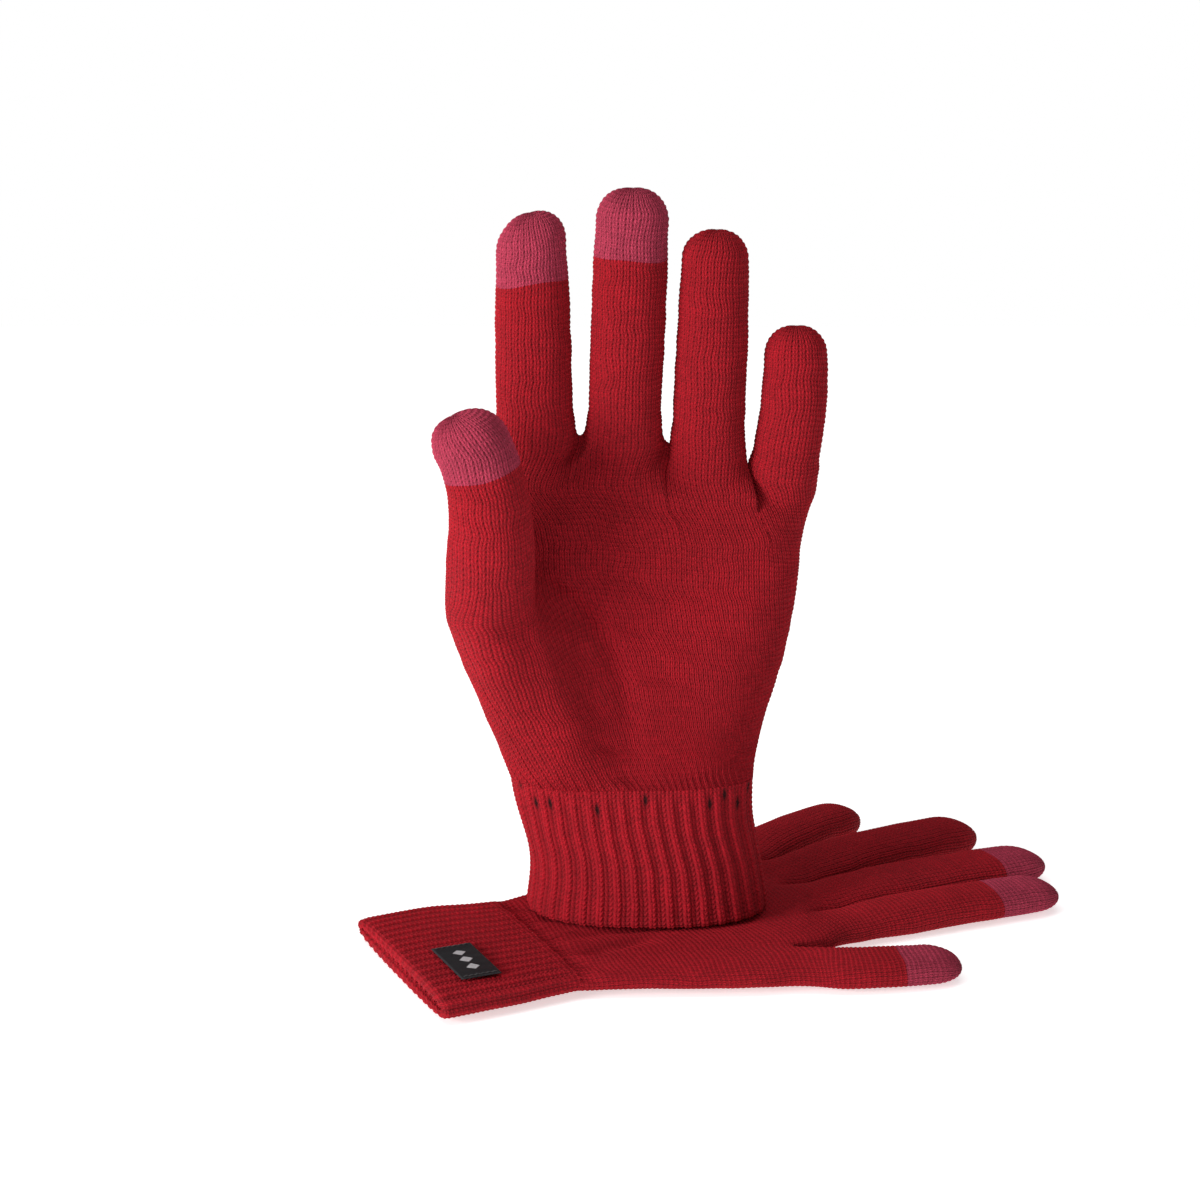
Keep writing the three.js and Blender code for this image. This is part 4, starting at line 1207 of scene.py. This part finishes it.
SEWING_TREE = make_sewing_tree()
# The second colour is a painted sheen on the crests of the plies.
BLACK_THREAD = plain_thread("Black sewing thread", (0.008, 0.008, 0.009), (0.06, 0.06, 0.065), 2600.0)
ROW_STITCHES = 6
for node, side in (("label_stitch_inner", 1), ("label_stitch_outer", -1)):
    low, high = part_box(node)
    middle = (low + high) / 2
    step = lying_place.to_3x3() @ Vector((0, 0, (LABEL_WIDE - 2.0) / ROW_STITCHES / 1000))
    first = middle - step * (ROW_STITCHES - 1) / 2
    first.z = label_middle.z + 0.00002
    given = {"From": first, "Step": step, "Stitches": ROW_STITCHES, "Thread Material": BLACK_THREAD}
    sewing_mesh = run_tree(bpy.data.meshes.new("blank"), SEWING_TREE, given)
    sewing_mesh.shade_smooth()
    sewing = bpy.data.objects.new(node + "_sewing", sewing_mesh)
    bpy.context.scene.collection.objects.link(sewing)
    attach(sewing, "lying_glove")
    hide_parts(node)


# ------------------------------------------------------------------ the elastic in the cuffs
# A covered elastic yarn is laid in round the inside of each cuff, so that it grips the wrist.
# The second colour is a painted sheen on the crests of the plies.
ELASTIC_YARN = plain_thread("Covered elastic", (0.16, 0.004, 0.009), (0.42, 0.02, 0.035), 900.0)
for name in ("lying_cuff_elastic", "standing_cuff_elastic"):
    for material_slot in frame["nodes"][name].material_slots:
        material_slot.material = ELASTIC_YARN


# ------------------------------------------------------------------ floor, light and camera
# A white studio table under one large soft lamp, with a smaller one from the left and the front.
# The white surroundings light the shadows.
floor_mesh = bpy.data.meshes.new("studio_floor")
side = 1.12
floor_corners = [(-side, -side, 0), (side, -side, 0), (side, side, 0), (-side, side, 0)]
floor_mesh.from_pydata(floor_corners, [], [(0, 1, 2, 3)])
floor = bpy.data.objects.new("studio_floor", floor_mesh)
bpy.context.scene.collection.objects.link(floor)
paper = bpy.data.materials.new("White table")
paper.use_nodes = True
paper_shader = paper.node_tree.nodes["Principled BSDF"]
paper_shader.inputs["Base Color"].default_value = (0.93, 0.93, 0.93, 1)
paper_shader.inputs["Roughness"].default_value = 0.9
paper_shader.inputs["Emission Color"].default_value = (1, 1, 1, 1)
paper_shader.inputs["Emission Strength"].default_value = 0.58
floor_mesh.materials.append(paper)

world = bpy.data.worlds.new("Studio")
bpy.context.scene.world = world
world.use_nodes = True
backdrop = world.node_tree.nodes["Background"]
backdrop.inputs[0].default_value = (1, 1, 1, 1)
seen = world.node_tree.nodes.new("ShaderNodeLightPath")
strength = world.node_tree.nodes.new("ShaderNodeMapRange")
strength.inputs["To Min"].default_value = 0.26
strength.inputs["To Max"].default_value = 1.0
world.node_tree.links.new(seen.outputs["Is Camera Ray"], strength.inputs["Value"])
world.node_tree.links.new(strength.outputs[0], backdrop.inputs[1])
bpy.context.scene.view_settings.view_transform = "Standard"


def soft_light(name, place, target, size, power):
    """A large square lamp that faces a point of the gloves."""
    lamp = bpy.data.lights.new(name, "AREA")
    lamp.shape = "SQUARE"
    lamp.size = size
    lamp.energy = power
    holder = bpy.data.objects.new(name, lamp)
    holder.location = place
    aim = Vector(target) - Vector(place)
    holder.rotation_euler = aim.to_track_quat("-Z", "Y").to_euler()
    bpy.context.scene.collection.objects.link(holder)


soft_light("lamp_above", (-0.2, 0.0, 1.9), (0, 0, 0), 1.8, 14.0)
soft_light("lamp_left", (-1.2, -0.8, 0.45), (0, 0, 0.1), 0.6, 21.0)

camera = bpy.data.objects.new("camera", bpy.data.cameras.new("camera"))
bpy.context.scene.collection.objects.link(camera)
camera.data.lens = 85
camera.data.sensor_width = 36
camera.data.clip_start = 0.05
camera.data.clip_end = 50
CAMERA_AWAY = 0.85
pitch = math.radians(15)
aim = Vector((-0.0146, 0.0, 0.105))
away = Vector((0, -math.cos(pitch), math.sin(pitch)))
camera.location = aim + CAMERA_AWAY * away
camera.rotation_euler = (-away).to_track_quat("-Z", "Y").to_euler()
bpy.context.scene.camera = camera
